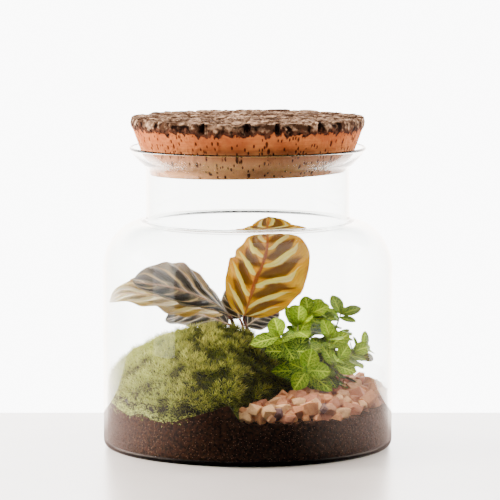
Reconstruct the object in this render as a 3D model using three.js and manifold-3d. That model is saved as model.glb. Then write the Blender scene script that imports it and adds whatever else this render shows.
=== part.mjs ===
// A planted glass jar closed with a bark cork: the jar, the cork, a bed of soil, a moss
// cushion, a patch of gravel, six leaves of a peacock plant and a bush of small leafy stems.
// Millimetres, +Z up, front towards -Y, origin at the middle of the jar's flat foot.
import * as THREE from 'three';
import { mergeVertices } from 'three/addons/utils/BufferGeometryUtils.js';
import Module from 'manifold-3d';

const wasm = await Module();
wasm.setup();

// General
const GAP = 0.3;
const AROUND = 40;

// Glass jar
const BODY_RADIUS = 125;
const FOOT_CORNER = 7;
const INNER_CORNER = 3.6;
const FLOOR = 3.6;
const WALL = 2.8;
const INSIDE = BODY_RADIUS - WALL;
const SHOULDER_START = 153;
const SHOULDER_TOP = 196.5;
const SHOULDER_CENTRE = 88;
const NECK_RADIUS = 87.7;
const NECK_WALL = 2.7;
const NECK_FILLET = 4;
const THROAT = 240.5;

// The flared lip in section, up the outside, over the rim and down the inside: the bend
// and the end of each curve, as radius and height
const LIP = [
  [88.2, 242.6, 90.2, 244.4], [99, 252.5, 102.1, 258.6], [100.8, 261.2, 99.5, 258.6],
  [96.6, 253.2, 88.4, 246.4], [85.4, 243.6, 85, 240.5],
];

// Cork stopper with the bark left on top, its side as radius and height
const CORK_BOTTOM = 238.3;
const CORK_SLANT = 2;
const CORK_SIDE = [
  [83.2, 238.3], [84.2, 239.8], [85.4, 243.6], [87.7, 246.6], [90, 251], [92.6, 258], [98.9, 275.2],
  [100.4, 277.2], [101.2, 281.7], [99.2, 283.2],
];
const BARK_TOP = 285;
const BARK_RADIUS = 101.2;
const BARK_DEPTH = 7;
const BARK_RELIEF = 1.1;
const BARK_FURROW = 7;
const BARK_RINGS = [82, 62, 42, 20, 0];

// Soil, which rises to a mound behind the moss
const GROUND_FRONT = 36;
const GROUND_SLOPE = 0.045;
const GROUND_RELIEF = 0.8;
const GROUND_LUMP = 18;
const GROUND_RINGS = [101, 80, 60, 40, 20, 0];
const MOUND = { x: -8, y: 18, height: 46, left: 55, right: 30, deep: 42 };

// Moss cushion
const MOSS_TOP = 106;
const MOSS_LIP = 2.5;
const MOSS_UNDER = 20;
const MOSS_FULLNESS = 1.4;
const MOSS_RELIEF = 1.6;
const MOSS_CLUMP = 4.5;
const MOSS_CENTRE = [-28, -2];
const MOSS_EDGE = [
  [-20, -119], [-60, -105], [-95, -76], [-115, -38], [-120, 5], [-108, 45], [-85, 62],
  [-62, 64], [-42, 52], [-27, 32], [-17, 14], [0, 7], [20, 7], [36, 4], [43, -6],
  [40, -25], [28, -48], [10, -72], [-5, -96], [-13, -112],
];

// Gravel
const STONE = 10.5;
const STONE_SHAPE = [1, 0.85, 0.75];
const STONE_TURN = 0.9;
const STONE_PITCH = 13;
const STONE_JITTER = 1.5;
const STONE_LIFT = 3;
const GRIT_DEPTH = 3;
const GRAVEL_EDGE = [
  [-10, -140], [-4, -101], [12, -74], [30, -50], [43, -27], [46, -3], [44, 12], [50, 34], [62, 50],
  [98, 92], [160, 60], [160, -140],
];
const GRAVEL_SEED = 11;
const STEM_CLEARING = 2.6;
const STONE_TO_MOSS = 2.8;
const STONE_TO_STEM = 3;

// Peacock plant: each leaf rises from its root, and its midrib runs from blade base to tip
const PETIOLE_RADIUS = 1.4;
const ROOT_DEPTH = 8;
const ROOT_STRAIGHT = 10;
const BIG_BLADE = 0.9;
const GOLDEN = [1, 3];
const BIG_LEAVES = [
  {
    root: [0, 21], knee: 104,
    midrib: [[-3, 19, 111], [6.5, 18, 141], [14.5, 17, 164], [18, 11, 198]],
    facing: [0.45, -1, 0.1], width: 74, skew: 0.08, widest: 0.5, fullness: 0.42, fold: 0.3, waves: 3.5,
    ruffle: 1.8,
  },
  {
    root: [-10, 17], knee: 100,
    midrib: [[-16, 10, 112], [-29, -5, 125], [-61, -21, 139], [-98, -25, 146]],
    facing: [-0.1, -0.75, 0.7], width: 45, skew: 0.5, widest: 0.57, fold: -0.2, waves: 2, ruffle: 2,
  },
  {
    root: [-12, 26], knee: 100,
    midrib: [[-20, 20, 113], [-50, 10, 124], [-84, 1, 131], [-106, -6, 133], [-119, -11, 126]],
    facing: [0.1, -0.6, 0.8], width: 42, skew: 0, widest: 0.47, fullness: 0.75, fold: 0.1, waves: 2.5,
    ruffle: 3,
  },
  {
    root: [-8, 34], knee: 94,
    midrib: [[-17, 37, 101], [-38, 42, 108], [-55, 46, 108], [-73, 48, 103]],
    facing: [0, -0.6, 0.8], width: 36, skew: 0, widest: 0.45, fold: 0.15, waves: 2, ruffle: 2,
  },
  {
    root: [5, 27], knee: 95,
    midrib: [[-1, 25, 101], [8, 27, 107], [17, 30, 111], [28, 34, 111]],
    facing: [-0.1, -0.72, 0.68], width: 30, skew: 0, widest: 0.45, fold: 0.15, waves: 2, ruffle: 1.5,
  },
  {
    root: [-3, 32], knee: 100,
    midrib: [[-7, 37, 106], [-10, 41, 116], [-12, 45, 126], [-14, 50, 136]],
    facing: [-0.2, -1, 0.3], width: 22, skew: 0, widest: 0.45, fold: 0.2, waves: 1.5, ruffle: 1,
  },
];

// Small-leaved bush: each stem rises from its root to its tip, pointing along aim there
const STEM_RADIUS = 1;
const SMALL_BLADE = 0.7;
const PAIR_STEPS = [1, 11, 22];
const PAIR_LENGTHS = [18, 23, 22];
const PAIR_PITCHES = [50, 68, 80];
const SMALL_ASPECT = 0.66;
const BEND_AT = 0.55;
const DROOP = 0.15;
const STEMS = [
  { root: [48, -16], tip: [50, -66, 74.5], aim: [0, -0.95, 0.1], turns: [75, 165, 120], size: 1.1 },
  { root: [47, -6], tip: [27, -51, 102], aim: [-0.35, -0.6, 0.7], turns: [110, 190], size: 1.1 },
  { root: [48, 4], tip: [43, -27, 109], aim: [-0.05, -0.45, 0.9], turns: [65, 135], size: 1 },
  { root: [55, 10], tip: [53, -3, 115], aim: [0.1, -0.6, 0.8], turns: [40, 130, 85], size: 1 },
  { root: [68, 12], tip: [81, 2, 115], aim: [0.25, -0.6, 0.75], turns: [130, 20], size: 1 },
  { root: [72, -6], tip: [91, -17, 84], aim: [0.6, -0.5, 0.6], turns: [30, 120], size: 0.95 },
  { root: [60, -4], tip: [71, -28, 97], aim: [0.2, -0.5, 0.85], turns: [125, 40, 85], size: 1 },
  { root: [60, -18], tip: [78, -46, 82], aim: [0.35, -0.65, 0.6], turns: [60, 150], size: 0.85 },
  { root: [50, 20], tip: [45, 34, 99], aim: [-0.1, 0.4, 0.9], turns: [70, 160], size: 1 },
  { root: [63, 24], tip: [75, 42, 91], aim: [0.3, 0.5, 0.8], turns: [20, 110], size: 1 },
  { root: [78, 8], tip: [101, 20, 82], aim: [0.8, 0.3, 0.5], turns: [55, 145], size: 0.95 },
];

// Paint and surface of each piece
const paint = (color, roughness) => new THREE.MeshStandardMaterial({ color, roughness, metalness: 0 });
const GLASS = new THREE.MeshStandardMaterial({
  color: 0xeef6f2, roughness: 0.05, metalness: 0, transparent: true, opacity: 0.25,
});
const CORK = paint(0xb9764c, 0.85);
const SOIL = paint(0x2a1a14, 0.95);
const MOSS = paint(0x6f7f33, 0.9);
const GRAVEL = paint(0xd3a488, 0.85);
const GOLD_LEAF = paint(0xb8862b, 0.5);
const DARK_LEAF = paint(0x5d5a4b, 0.5);
const NET_LEAF = paint(0x6fa32a, 0.55);

const radians = THREE.MathUtils.degToRad;
const vector = (point) => new THREE.Vector3(...point);

// A repeatable series of numbers from 0 to 1
function seeded(seed) {
  let state = seed;
  return () => {
    state = (state * 16807) % 2147483647;
    return state / 2147483647;
  };
}

// Uneven surface: a sum of three waves that returns -1 to 1
function uneven(a, b) {
  return (Math.sin(a * 1.9 + b * 0.7) + Math.sin(b * 2.3 - a * 1.1) + Math.sin((a + b) * 3.1)) / 3;
}

function ground(x, y) {
  const spread = x < MOUND.x ? MOUND.left : MOUND.right;
  const offCentre = ((x - MOUND.x) / spread) ** 2 + ((y - MOUND.y) / MOUND.deep) ** 2;
  const slope = GROUND_FRONT + GROUND_SLOPE * (y + BODY_RADIUS);
  const lumps = GROUND_RELIEF * uneven(x / GROUND_LUMP, y / GROUND_LUMP);
  return slope + MOUND.height * Math.exp(-offCentre / 2) + lumps;
}

// Closed geometry to solid, and back to a named mesh
function solid(geometry) {
  const bare = geometry.clone();
  bare.deleteAttribute('normal');
  bare.deleteAttribute('uv');
  const merged = mergeVertices(bare, 1e-4);
  return new wasm.Manifold(new wasm.Mesh({
    numProp: 3,
    vertProperties: merged.getAttribute('position').array,
    triVerts: Uint32Array.from(merged.getIndex().array),
  }));
}

function piece(name, body, material) {
  const made = body.getMesh();
  const geometry = new THREE.BufferGeometry();
  geometry.setAttribute('position', new THREE.BufferAttribute(made.vertProperties, 3));
  geometry.setIndex(new THREE.BufferAttribute(made.triVerts, 1));
  geometry.computeVertexNormals();
  const mesh = new THREE.Mesh(geometry, material);
  mesh.name = name;
  return mesh;
}

function joined(bodies) {
  return bodies.reduce((sum, body) => sum.add(body));
}

function revolved(profile) {
  const geometry = new THREE.LatheGeometry(profile, AROUND);
  geometry.rotateX(Math.PI / 2);
  return geometry;
}

// Moves every vertex of a geometry by a rule that takes and returns a point
function reshaped(geometry, rule) {
  const position = geometry.getAttribute('position');
  const point = new THREE.Vector3();
  for (let i = 0; i < position.count; i++) {
    point.fromBufferAttribute(position, i);
    rule(point);
    position.setXYZ(i, point.x, point.y, point.z);
  }
  return geometry;
}

// The glass jar: one blown wall, open at the neck
function glassJar() {
  const footCentre = BODY_RADIUS - FOOT_CORNER;
  const rise = SHOULDER_TOP - SHOULDER_START;
  const reach = BODY_RADIUS - SHOULDER_CENTRE;
  const filletCentre = NECK_RADIUS + NECK_FILLET;
  const outerEnd = Math.acos((filletCentre - SHOULDER_CENTRE) / reach);
  const innerEnd = Math.acos((filletCentre - SHOULDER_CENTRE) / (reach - WALL));
  const filletHeight = SHOULDER_TOP + NECK_FILLET;
  const neckInside = NECK_RADIUS - NECK_WALL;

  const wall = new THREE.Path();
  wall.moveTo(0, 0);
  wall.lineTo(footCentre, 0);
  wall.quadraticCurveTo(BODY_RADIUS, 0, BODY_RADIUS, FOOT_CORNER);
  wall.absellipse(SHOULDER_CENTRE, SHOULDER_START, reach, rise, 0, outerEnd, false);
  wall.quadraticCurveTo(NECK_RADIUS, SHOULDER_TOP, NECK_RADIUS, filletHeight);
  wall.lineTo(NECK_RADIUS, THROAT);
  LIP.forEach((curve) => wall.quadraticCurveTo(...curve));
  wall.lineTo(neckInside, filletHeight);
  wall.quadraticCurveTo(neckInside, SHOULDER_TOP - NECK_WALL, filletCentre, SHOULDER_TOP - NECK_WALL);
  wall.absellipse(SHOULDER_CENTRE, SHOULDER_START, reach - WALL, rise - WALL, innerEnd, 0, true);
  wall.lineTo(INSIDE, FLOOR + INNER_CORNER);
  wall.quadraticCurveTo(INSIDE, FLOOR, INSIDE - INNER_CORNER, FLOOR);
  wall.lineTo(0, FLOOR);
  return solid(revolved(wall.getPoints(2)));
}

// The stopper: one piece of cork that narrows into the throat, bark with its furrows on top
function corkStopper() {
  const crown = BARK_RINGS.map((radius) => [radius, BARK_TOP]);
  const section = [[0, CORK_BOTTOM], ...CORK_SIDE, ...crown];
  const profile = section.map(([radius, height]) => new THREE.Vector2(radius, height));
  const barkFrom = BARK_TOP - BARK_DEPTH;
  return solid(reshaped(revolved(profile), (point) => {
    if (point.z < CORK_BOTTOM + 2) {
      point.z += CORK_SLANT * point.x / BARK_RADIUS;
    } else if (point.z > barkFrom) {
      const relief = BARK_RELIEF * uneven(point.x / BARK_FURROW, point.y / BARK_FURROW);
      point.z += relief;
      point.x *= 1 + relief / BARK_RADIUS / 2;
      point.y *= 1 + relief / BARK_RADIUS / 2;
    }
  }));
}

// The soil bed fills the foot of the jar and rises to the mound
function soilBed() {
  const brim = BODY_RADIUS;
  const outline = new THREE.Path();
  outline.moveTo(0, FLOOR + GAP);
  outline.lineTo(INSIDE - INNER_CORNER, FLOOR + GAP);
  outline.quadraticCurveTo(INSIDE - GAP, FLOOR + GAP, INSIDE - GAP, FLOOR + INNER_CORNER);
  outline.lineTo(INSIDE - GAP, brim);
  GROUND_RINGS.forEach((radius) => outline.lineTo(radius, brim));
  return solid(reshaped(revolved(outline.getPoints(2)), (point) => {
    if (point.z > brim - 1) {
      point.z = ground(point.x, point.y);
    }
  }));
}

// A stem: upright for one step from its root, then along a curve
function stem(root, curve, radius, corners) {
  const [x, y] = root;
  const height = ground(x, y);
  const foot = new THREE.Vector3(x, y, height - ROOT_DEPTH);
  const path = new THREE.CurvePath();
  path.add(new THREE.LineCurve3(foot, curve.getPoint(0)));
  path.add(curve);
  const section = new THREE.Shape();
  section.absarc(0, 0, radius, 0, 2 * Math.PI, false);
  const steps = Math.ceil(path.getLength() / ROOT_STRAIGHT);
  const settings = { extrudePath: path, steps, curveSegments: corners / 2 };
  return solid(new THREE.ExtrudeGeometry(section, settings));
}

// The plain upright hole that a stem stands in
function socket([x, y], radius) {
  const opening = (radius + GAP) / Math.cos(Math.PI / 6);
  const depth = ROOT_DEPTH + GAP;
  const geometry = new THREE.CylinderGeometry(opening, opening, 2 * depth, 6);
  geometry.rotateX(Math.PI / 2);
  geometry.translate(x, y, ground(x, y));
  return solid(geometry);
}

// The moss edge as a closed ring of points, none nearer the glass than the gap allows
function mossRing(count) {
  const limit = INSIDE - 3 * GAP;
  const curve = new THREE.CatmullRomCurve3(MOSS_EDGE.map(([x, y]) => new THREE.Vector3(x, y, 0)), true);
  return curve.getSpacedPoints(count).slice(0, count).map((point) => point.clampLength(0, limit));
}

// The moss cushion: a domed pad of clumps that lies on the soil
function mossCushion() {
  const around = 44;
  const rings = 9;
  const edge = mossRing(around);
  const [centreX, centreY] = MOSS_CENTRE;
  const positions = [centreX, centreY, MOSS_TOP, centreX, centreY, MOSS_UNDER];
  const indices = [];
  const place = (ring, step) => 2 + ring * around + (step % around);
  for (let ring = 0; ring < rings; ring++) {
    const share = ((ring + 1) / rings) ** 0.8;
    edge.forEach((border) => {
      const x = centreX + share * (border.x - centreX);
      const y = centreY + share * (border.y - centreY);
      const edgeHeight = ground(border.x, border.y) + MOSS_LIP;
      const dome = Math.sqrt(Math.max(0, 1 - share ** MOSS_FULLNESS));
      const clump = MOSS_RELIEF * uneven(x / MOSS_CLUMP, y / MOSS_CLUMP) * (1 - share ** 6);
      positions.push(x, y, edgeHeight + (MOSS_TOP - edgeHeight) * dome + clump);
    });
  }
  edge.forEach((border) => positions.push(border.x, border.y, MOSS_UNDER));
  for (let step = 0; step < around; step++) {
    indices.push(0, place(0, step + 1), place(0, step));
    for (let ring = 0; ring < rings; ring++) {
      const [a, b] = [place(ring, step), place(ring, step + 1)];
      const [c, d] = [place(ring + 1, step), place(ring + 1, step + 1)];
      indices.push(a, d, c, a, b, d);
    }
    indices.push(1, place(rings, step), place(rings, step + 1));
  }
  const geometry = new THREE.BufferGeometry();
  geometry.setAttribute('position', new THREE.Float32BufferAttribute(positions, 3));
  geometry.setIndex(indices);
  return solid(geometry);
}

// One broken stone: a box with its corners pushed about and turned at random
function stone(x, y, z, size, random) {
  const geometry = new THREE.BoxGeometry(...STONE_SHAPE.map((share) => share * size));
  const corners = Array.from({ length: 8 }, () => 0.76 + 0.34 * random());
  reshaped(geometry, (point) => {
    const corner = (point.x > 0 ? 1 : 0) + (point.y > 0 ? 2 : 0) + (point.z > 0 ? 4 : 0);
    point.multiplyScalar(corners[corner]);
  });
  geometry.rotateX(STONE_TURN * (random() - 0.5));
  geometry.rotateY(STONE_TURN * (random() - 0.5));
  geometry.rotateZ(Math.PI * random());
  geometry.translate(x, y, z);
  const position = geometry.getAttribute('position');
  let reach = 0;
  for (let i = 0; i < position.count; i++) {
    reach = Math.max(reach, Math.hypot(position.getX(i), position.getY(i)));
  }
  const excess = Math.max(0, reach - INSIDE + 3 * GAP) / Math.hypot(x, y);
  geometry.translate(-x * excess, -y * excess, 0);
  return solid(geometry);
}

// A layer of grit that follows the soil and carries the stones
function gritLayer() {
  const region = new THREE.Shape(GRAVEL_EDGE.map(([x, y]) => new THREE.Vector2(x, y)));
  const block = solid(new THREE.ExtrudeGeometry(region, { depth: BODY_RADIUS, bevelEnabled: false }));
  const within = INSIDE - 3 * GAP;
  const round = new THREE.CylinderGeometry(within, within, 2 * BODY_RADIUS, AROUND).rotateX(Math.PI / 2);
  return block.intersect(solid(round)).intersect(soilBed().translate(0, 0, GAP + GRIT_DEPTH));
}

// The gravel: broken stones on an uneven grid, clear of the glass, the moss and each other
function gravelPatch() {
  const random = seeded(GRAVEL_SEED);
  const region = GRAVEL_EDGE.map(([x, y]) => ({ x, y }));
  const inRegion = (x, y) => {
    let inside = false;
    region.forEach((a, i) => {
      const b = region[(i + 1) % region.length];
      if ((a.y > y) !== (b.y > y) && x < a.x + (y - a.y) / (b.y - a.y) * (b.x - a.x)) {
        inside = !inside;
      }
    });
    return inside;
  };
  const moss = mossRing(120);
  const roots = STEMS.map(({ root }) => ({ x: root[0], y: root[1] }));
  const clear = (x, y, points, distance) => points.every((p) => Math.hypot(p.x - x, p.y - y) > distance);
  const bodies = [gritLayer()];
  const rows = Math.ceil(BODY_RADIUS / STONE_PITCH);
  for (let row = -rows; row <= rows; row++) {
    for (let column = -rows; column <= rows; column++) {
      const x = (column + (row % 2 ? 0.5 : 0)) * STONE_PITCH + STONE_JITTER * (random() - 0.5);
      const y = row * STONE_PITCH * Math.sqrt(0.75) + STONE_JITTER * (random() - 0.5);
      const lift = GRIT_DEPTH + STONE_LIFT + STONE_JITTER * random();
      const size = STONE * (0.85 + 0.3 * random());
      const fits = inRegion(x, y) && Math.hypot(x, y) < INSIDE - size / 2
        && clear(x, y, moss, size / 2 + STONE_TO_MOSS) && clear(x, y, roots, size / 2 + STONE_TO_STEM);
      if (fits) {
        bodies.push(stone(x, y, ground(x, y) + lift, size, random));
      }
    }
  }
  const clearings = joined(STEMS.map(({ root }) => socket(root, STEM_CLEARING)));
  const cut = joined(bodies).subtract(clearings).subtract(soilBed().translate(0, 0, GAP));
  return cut.decompose().reduce((largest, body) => (body.volume() > largest.volume() ? body : largest));
}

// Half the width of a leaf, as a share, at a place from base 0 to tip 1
function outline(along, widest, fullness) {
  return Math.sin(Math.PI * along ** (Math.log(0.5) / Math.log(widest))) ** fullness;
}

// A leaf blade: a thin arched sheet with a fold at the midrib and waves along its edges
function blade(midrib, facing, leaf) {
  const { width, skew, widest, fullness, fold, waves, ruffle, thickness, rows, columns } = leaf;
  const positions = [];
  const indices = [];
  const line = columns + 1;
  const sheet = line * (rows + 1);
  for (const face of [0.5, -0.5]) {
    for (let row = 0; row <= rows; row++) {
      const along = row / rows;
      const tangent = midrib.getTangent(along);
      const across = new THREE.Vector3().crossVectors(tangent, facing).normalize();
      const normal = new THREE.Vector3().crossVectors(across, tangent);
      const half = Math.max(0.6, width / 2 * outline(along, widest, fullness));
      for (let column = 0; column <= columns; column++) {
        const side = column / columns * 2 - 1;
        const out = half * side * (1 + skew * side);
        const wave = ruffle * Math.sin(2 * Math.PI * waves * along + 2 * side) * outline(along, widest, 1);
        const lift = fold * Math.abs(out) + wave * side * side + face * thickness;
        const point = midrib.getPoint(along).addScaledVector(across, out);
        positions.push(...point.addScaledVector(normal, lift));
      }
    }
  }
  const quad = (a, b, c, d) => indices.push(a, b, c, a, c, d);
  for (let row = 0; row < rows; row++) {
    for (let column = 0; column < columns; column++) {
      const a = row * line + column;
      quad(a, a + 1, a + line + 1, a + line);
      quad(a + sheet, a + sheet + line, a + sheet + line + 1, a + sheet + 1);
    }
    const left = row * line;
    const right = left + columns;
    quad(left, left + line, left + line + sheet, left + sheet);
    quad(right, right + sheet, right + sheet + line, right + line);
  }
  for (let column = 0; column < columns; column++) {
    const tip = rows * line + column;
    quad(column, column + sheet, column + sheet + 1, column + 1);
    quad(tip, tip + 1, tip + sheet + 1, tip + sheet);
  }
  const geometry = new THREE.BufferGeometry();
  geometry.setAttribute('position', new THREE.Float32BufferAttribute(positions, 3));
  geometry.setIndex(indices);
  return solid(geometry);
}

// A leaf of the peacock plant: a stalk from the soil that runs on as the midrib
function bigLeaf({ root, knee, midrib, facing, ...shape }) {
  const [x, y] = root;
  const height = ground(x, y);
  const [base, ...rest] = midrib.map(vector);
  const stalk = new THREE.CubicBezierCurve3(
    new THREE.Vector3(x, y, height - ROOT_DEPTH + ROOT_STRAIGHT), new THREE.Vector3(x, y, knee),
    base.clone().lerp(rest[0], -0.2), base.clone().lerp(rest[0], 0.4),
  );
  const rib = new THREE.CatmullRomCurve3([base, ...rest]);
  const leaf = { fullness: 0.62, ...shape, thickness: BIG_BLADE, rows: 9, columns: 4 };
  return {
    body: stem(root, stalk, PETIOLE_RADIUS, 6).add(blade(rib, vector(facing), leaf)),
    hole: socket(root, PETIOLE_RADIUS),
  };
}

// A leafy stem: pairs of small leaves, each pair turned a quarter from the next
function leafyStem({ root, tip, aim, turns, size }) {
  const [x, y] = root;
  const height = ground(x, y);
  const end = vector(tip);
  const heading = vector(aim).normalize();
  const length = end.distanceTo(new THREE.Vector3(x, y, height));
  const curve = new THREE.CubicBezierCurve3(
    new THREE.Vector3(x, y, height - ROOT_DEPTH + ROOT_STRAIGHT),
    new THREE.Vector3(x, y, height + length / 3),
    end.clone().addScaledVector(heading, -length / 3), end,
  );
  const parts = [stem(root, curve, STEM_RADIUS, 4)];
  turns.forEach((turn, index) => {
    const place = 1 - PAIR_STEPS[index] / curve.getLength();
    const start = curve.getPointAt(place);
    const up = curve.getTangentAt(place);
    const reference = new THREE.Vector3(1, 0, 0).addScaledVector(up, -up.x).normalize();
    for (const half of [0, 180]) {
      const out = reference.clone().applyAxisAngle(up, radians(turn + half));
      const pitch = radians(PAIR_PITCHES[index]);
      const along = up.clone().multiplyScalar(Math.cos(pitch)).addScaledVector(out, Math.sin(pitch));
      const reach = PAIR_LENGTHS[index] * size;
      const middle = start.clone().addScaledVector(along, reach * BEND_AT);
      const point = start.clone().addScaledVector(along, reach * (1 - DROOP));
      const rib = new THREE.QuadraticBezierCurve3(start, middle, point.addScaledVector(out, reach * DROOP));
      parts.push(blade(rib, up, {
        width: reach * SMALL_ASPECT, skew: 0, widest: 0.52, fullness: 0.75, fold: 0.12, waves: 0, ruffle: 0,
        thickness: SMALL_BLADE, rows: 4, columns: 2,
      }));
    }
  });
  return { body: joined(parts), hole: socket(root, STEM_RADIUS) };
}

const bigLeaves = BIG_LEAVES.map(bigLeaf);
const stems = STEMS.map(leafyStem);
const holes = joined([...bigLeaves, ...stems].map(({ hole }) => hole));
const raisedBed = soilBed().translate(0, 0, GAP);

const terrarium = new THREE.Group();
terrarium.add(piece('glass_jar', glassJar(), GLASS));
terrarium.add(piece('cork_stopper', corkStopper(), CORK));
terrarium.add(piece('soil_bed', soilBed().subtract(holes), SOIL));
terrarium.add(piece('moss_cushion', mossCushion().subtract(raisedBed), MOSS));
terrarium.add(piece('gravel_patch', gravelPatch(), GRAVEL));
bigLeaves.forEach(({ body }, index) => {
  const colour = GOLDEN.includes(index + 1) ? GOLD_LEAF : DARK_LEAF;
  terrarium.add(piece(`peacock_leaf_${index + 1}`, body, colour));
});
stems.forEach(({ body }, index) => {
  terrarium.add(piece(`fittonia_stem_${index + 1}`, body, NET_LEAF));
});

export default terrarium;
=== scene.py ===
"""A planted glass jar closed with a bark cork, dressed with its real surfaces.

The object's own sizes are in millimetres, as a gardener would measure them, and MM turns them
into the metres of the frame.
"""

import logging
import math
from contextlib import contextmanager
from dataclasses import dataclass, field, fields
from enum import Enum
from typing import ClassVar, Iterator, Sequence

import bpy
import numpy as np
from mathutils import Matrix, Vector, noise


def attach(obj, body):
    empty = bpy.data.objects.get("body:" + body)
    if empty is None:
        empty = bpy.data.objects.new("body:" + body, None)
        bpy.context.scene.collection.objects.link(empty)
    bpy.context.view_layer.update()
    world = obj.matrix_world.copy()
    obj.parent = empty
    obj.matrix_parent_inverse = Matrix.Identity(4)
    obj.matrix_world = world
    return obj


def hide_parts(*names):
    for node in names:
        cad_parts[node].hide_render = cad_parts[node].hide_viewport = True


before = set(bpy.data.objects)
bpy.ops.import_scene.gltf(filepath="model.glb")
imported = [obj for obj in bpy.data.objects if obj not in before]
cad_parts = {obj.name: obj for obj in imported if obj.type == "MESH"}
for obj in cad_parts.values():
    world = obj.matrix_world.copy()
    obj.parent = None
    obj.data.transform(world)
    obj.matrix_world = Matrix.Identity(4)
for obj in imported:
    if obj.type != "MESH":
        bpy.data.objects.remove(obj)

MM = 0.001
GAP = 0.3
BODY = "root"
TONE = "tone"
DEPTH = "depth"
PATTERN = "pattern"
FULL_TURN = 2 * math.pi
# How many side veins a leaf has on each side, and how far they sweep towards its tip.
PAIRS, SWEEP = 5.0, 0.34
NET_PAIRS, NET_SWEEP = 5.5, 0.3

log = logging.getLogger("terrarium")

Colour = tuple[float, float, float]
Point = tuple[float, float, float]


class Slot(Enum):
    """The record's material slots."""

    GLASS = "clear_glass"
    CORK = "bark_cork"
    SOIL = "potting_soil"
    MOSS = "live_moss"
    GRAVEL = "pink_gravel"
    GOLD = "golden_leaf"
    DARK = "dark_leaf"
    NET = "net_leaf"


# Tools for meshes


def deselect_all() -> None:
    """Empties the selection."""
    bpy.ops.object.select_all(action="DESELECT")


def select_only(piece: bpy.types.Object) -> None:
    """Selects one piece and makes it active.

    Args:
        piece: the object to select.
    """
    deselect_all()
    piece.select_set(True)
    bpy.context.view_layer.objects.active = piece


@contextmanager
def editing(piece: bpy.types.Object) -> Iterator[None]:
    """Opens a piece in edit mode with all of it selected, and closes it again.

    Args:
        piece: the mesh object to edit.

    Returns:
        A context in which mesh operators work on the piece.
    """
    select_only(piece)
    bpy.ops.object.mode_set(mode="EDIT")
    bpy.ops.mesh.select_all(action="SELECT")
    yield
    bpy.ops.object.mode_set(mode="OBJECT")


def apply_modifier(piece: bpy.types.Object, kind: str, **settings: object) -> None:
    """Adds a modifier to a piece and applies it.

    Args:
        piece: the mesh object.
        kind: the modifier's type.
        settings: the modifier's own values.
    """
    select_only(piece)
    modifier = piece.modifiers.new(kind.lower(), kind)
    for key, value in settings.items():
        setattr(modifier, key, value)
    bpy.ops.object.modifier_apply(modifier=modifier.name)


def smooth(piece: bpy.types.Object, degrees: float) -> None:
    """Shades a piece smooth where its faces meet at less than an angle."""
    select_only(piece)
    bpy.ops.object.shade_smooth_by_angle(angle=math.radians(degrees))


def points_of(piece: bpy.types.Object) -> np.ndarray:
    """Returns a mesh's points in millimetres, one row each.

    Args:
        piece: the mesh object to read.

    Returns:
        The points, in millimetres, one row each.
    """
    flat = np.empty(len(piece.data.vertices) * 3)
    piece.data.vertices.foreach_get("co", flat)
    return flat.reshape(-1, 3) / MM


def move_points(piece: bpy.types.Object, points: np.ndarray) -> None:
    """Puts a mesh's points where the rows say, in millimetres."""
    piece.data.vertices.foreach_set("co", (points * MM).ravel())
    piece.data.update()


def carry(mesh: bpy.types.Mesh, label: str, values: np.ndarray) -> None:
    """Lets a mesh's points carry a number each, which a finish can read."""
    layer = mesh.attributes.new(label, "FLOAT", "POINT")
    layer.data.foreach_set("value", values)


def from_axis(points: np.ndarray) -> np.ndarray:
    """How far each point is from the jar's axis."""
    return np.hypot(points[:, 0], points[:, 1])


def outwards(points: np.ndarray) -> np.ndarray:
    """The level direction from the jar's axis to each point."""
    return points * np.array([1, 1, 0]) / np.maximum(from_axis(points), 1e-6)[:, None]


def share_of(value: np.ndarray, low: float, high: float) -> np.ndarray:
    """How far each value lies between two ends, from 0 to 1."""
    return np.clip((value - low) / (high - low), 0, 1)


def grain(points: np.ndarray, size: Sequence[float], shift: float = 0.0) -> np.ndarray:
    """Smooth random values over space.

    Args:
        points: places in millimetres, one row each.
        size: how large the grains are along X, Y and Z, in millimetres.
        shift: moves the pattern, so that two uses differ.

    Returns:
        One value from -1 to 1 for each place.
    """
    scaled = points / np.array(size) + shift
    return np.array([noise.noise(Vector(place)) for place in scaled])


def uneven(a: np.ndarray, b: np.ndarray) -> np.ndarray:
    """The part's own uneven surface: three waves that give -1 to 1."""
    return (np.sin(a * 1.9 + b * 0.7) + np.sin(b * 2.3 - a * 1.1) + np.sin((a + b) * 3.1)) / 3


def unit(rows: np.ndarray) -> np.ndarray:
    """Scales each row to length 1."""
    return rows / np.linalg.norm(rows, axis=-1, keepdims=True)


def upright(axis: np.ndarray, spin: float) -> np.ndarray:
    """A turn that stands a shape's Z axis along a direction.

    Args:
        axis: the direction, of length 1.
        spin: the turn about it, in radians.

    Returns:
        A 3 by 3 matrix whose columns are the turned X, Y and Z axes.
    """
    helper = np.array([1.0, 0.0, 0.0]) if abs(axis[0]) < 0.8 else np.array([0.0, 1.0, 0.0])
    side = unit(np.cross(helper, axis))
    front = np.cross(axis, side)
    turned_side = side * math.cos(spin) + front * math.sin(spin)
    return np.column_stack([turned_side, np.cross(axis, turned_side), axis])


def cubic(a: Point, b: Point, c: Point, d: Point, count: int) -> np.ndarray:
    """Points of a curve with four handles, one row each.

    Args:
        a: where it starts.
        b: its first handle.
        c: its second handle.
        d: where it ends.
        count: how many points to return.

    Returns:
        The points, one row each.
    """
    t = np.linspace(0, 1, count)[:, None]
    a, b, c, d = (np.array(p, dtype=float) for p in (a, b, c, d))
    return a * (1 - t) ** 3 + 3 * b * t * (1 - t) ** 2 + 3 * c * t ** 2 * (1 - t) + d * t ** 3


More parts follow.
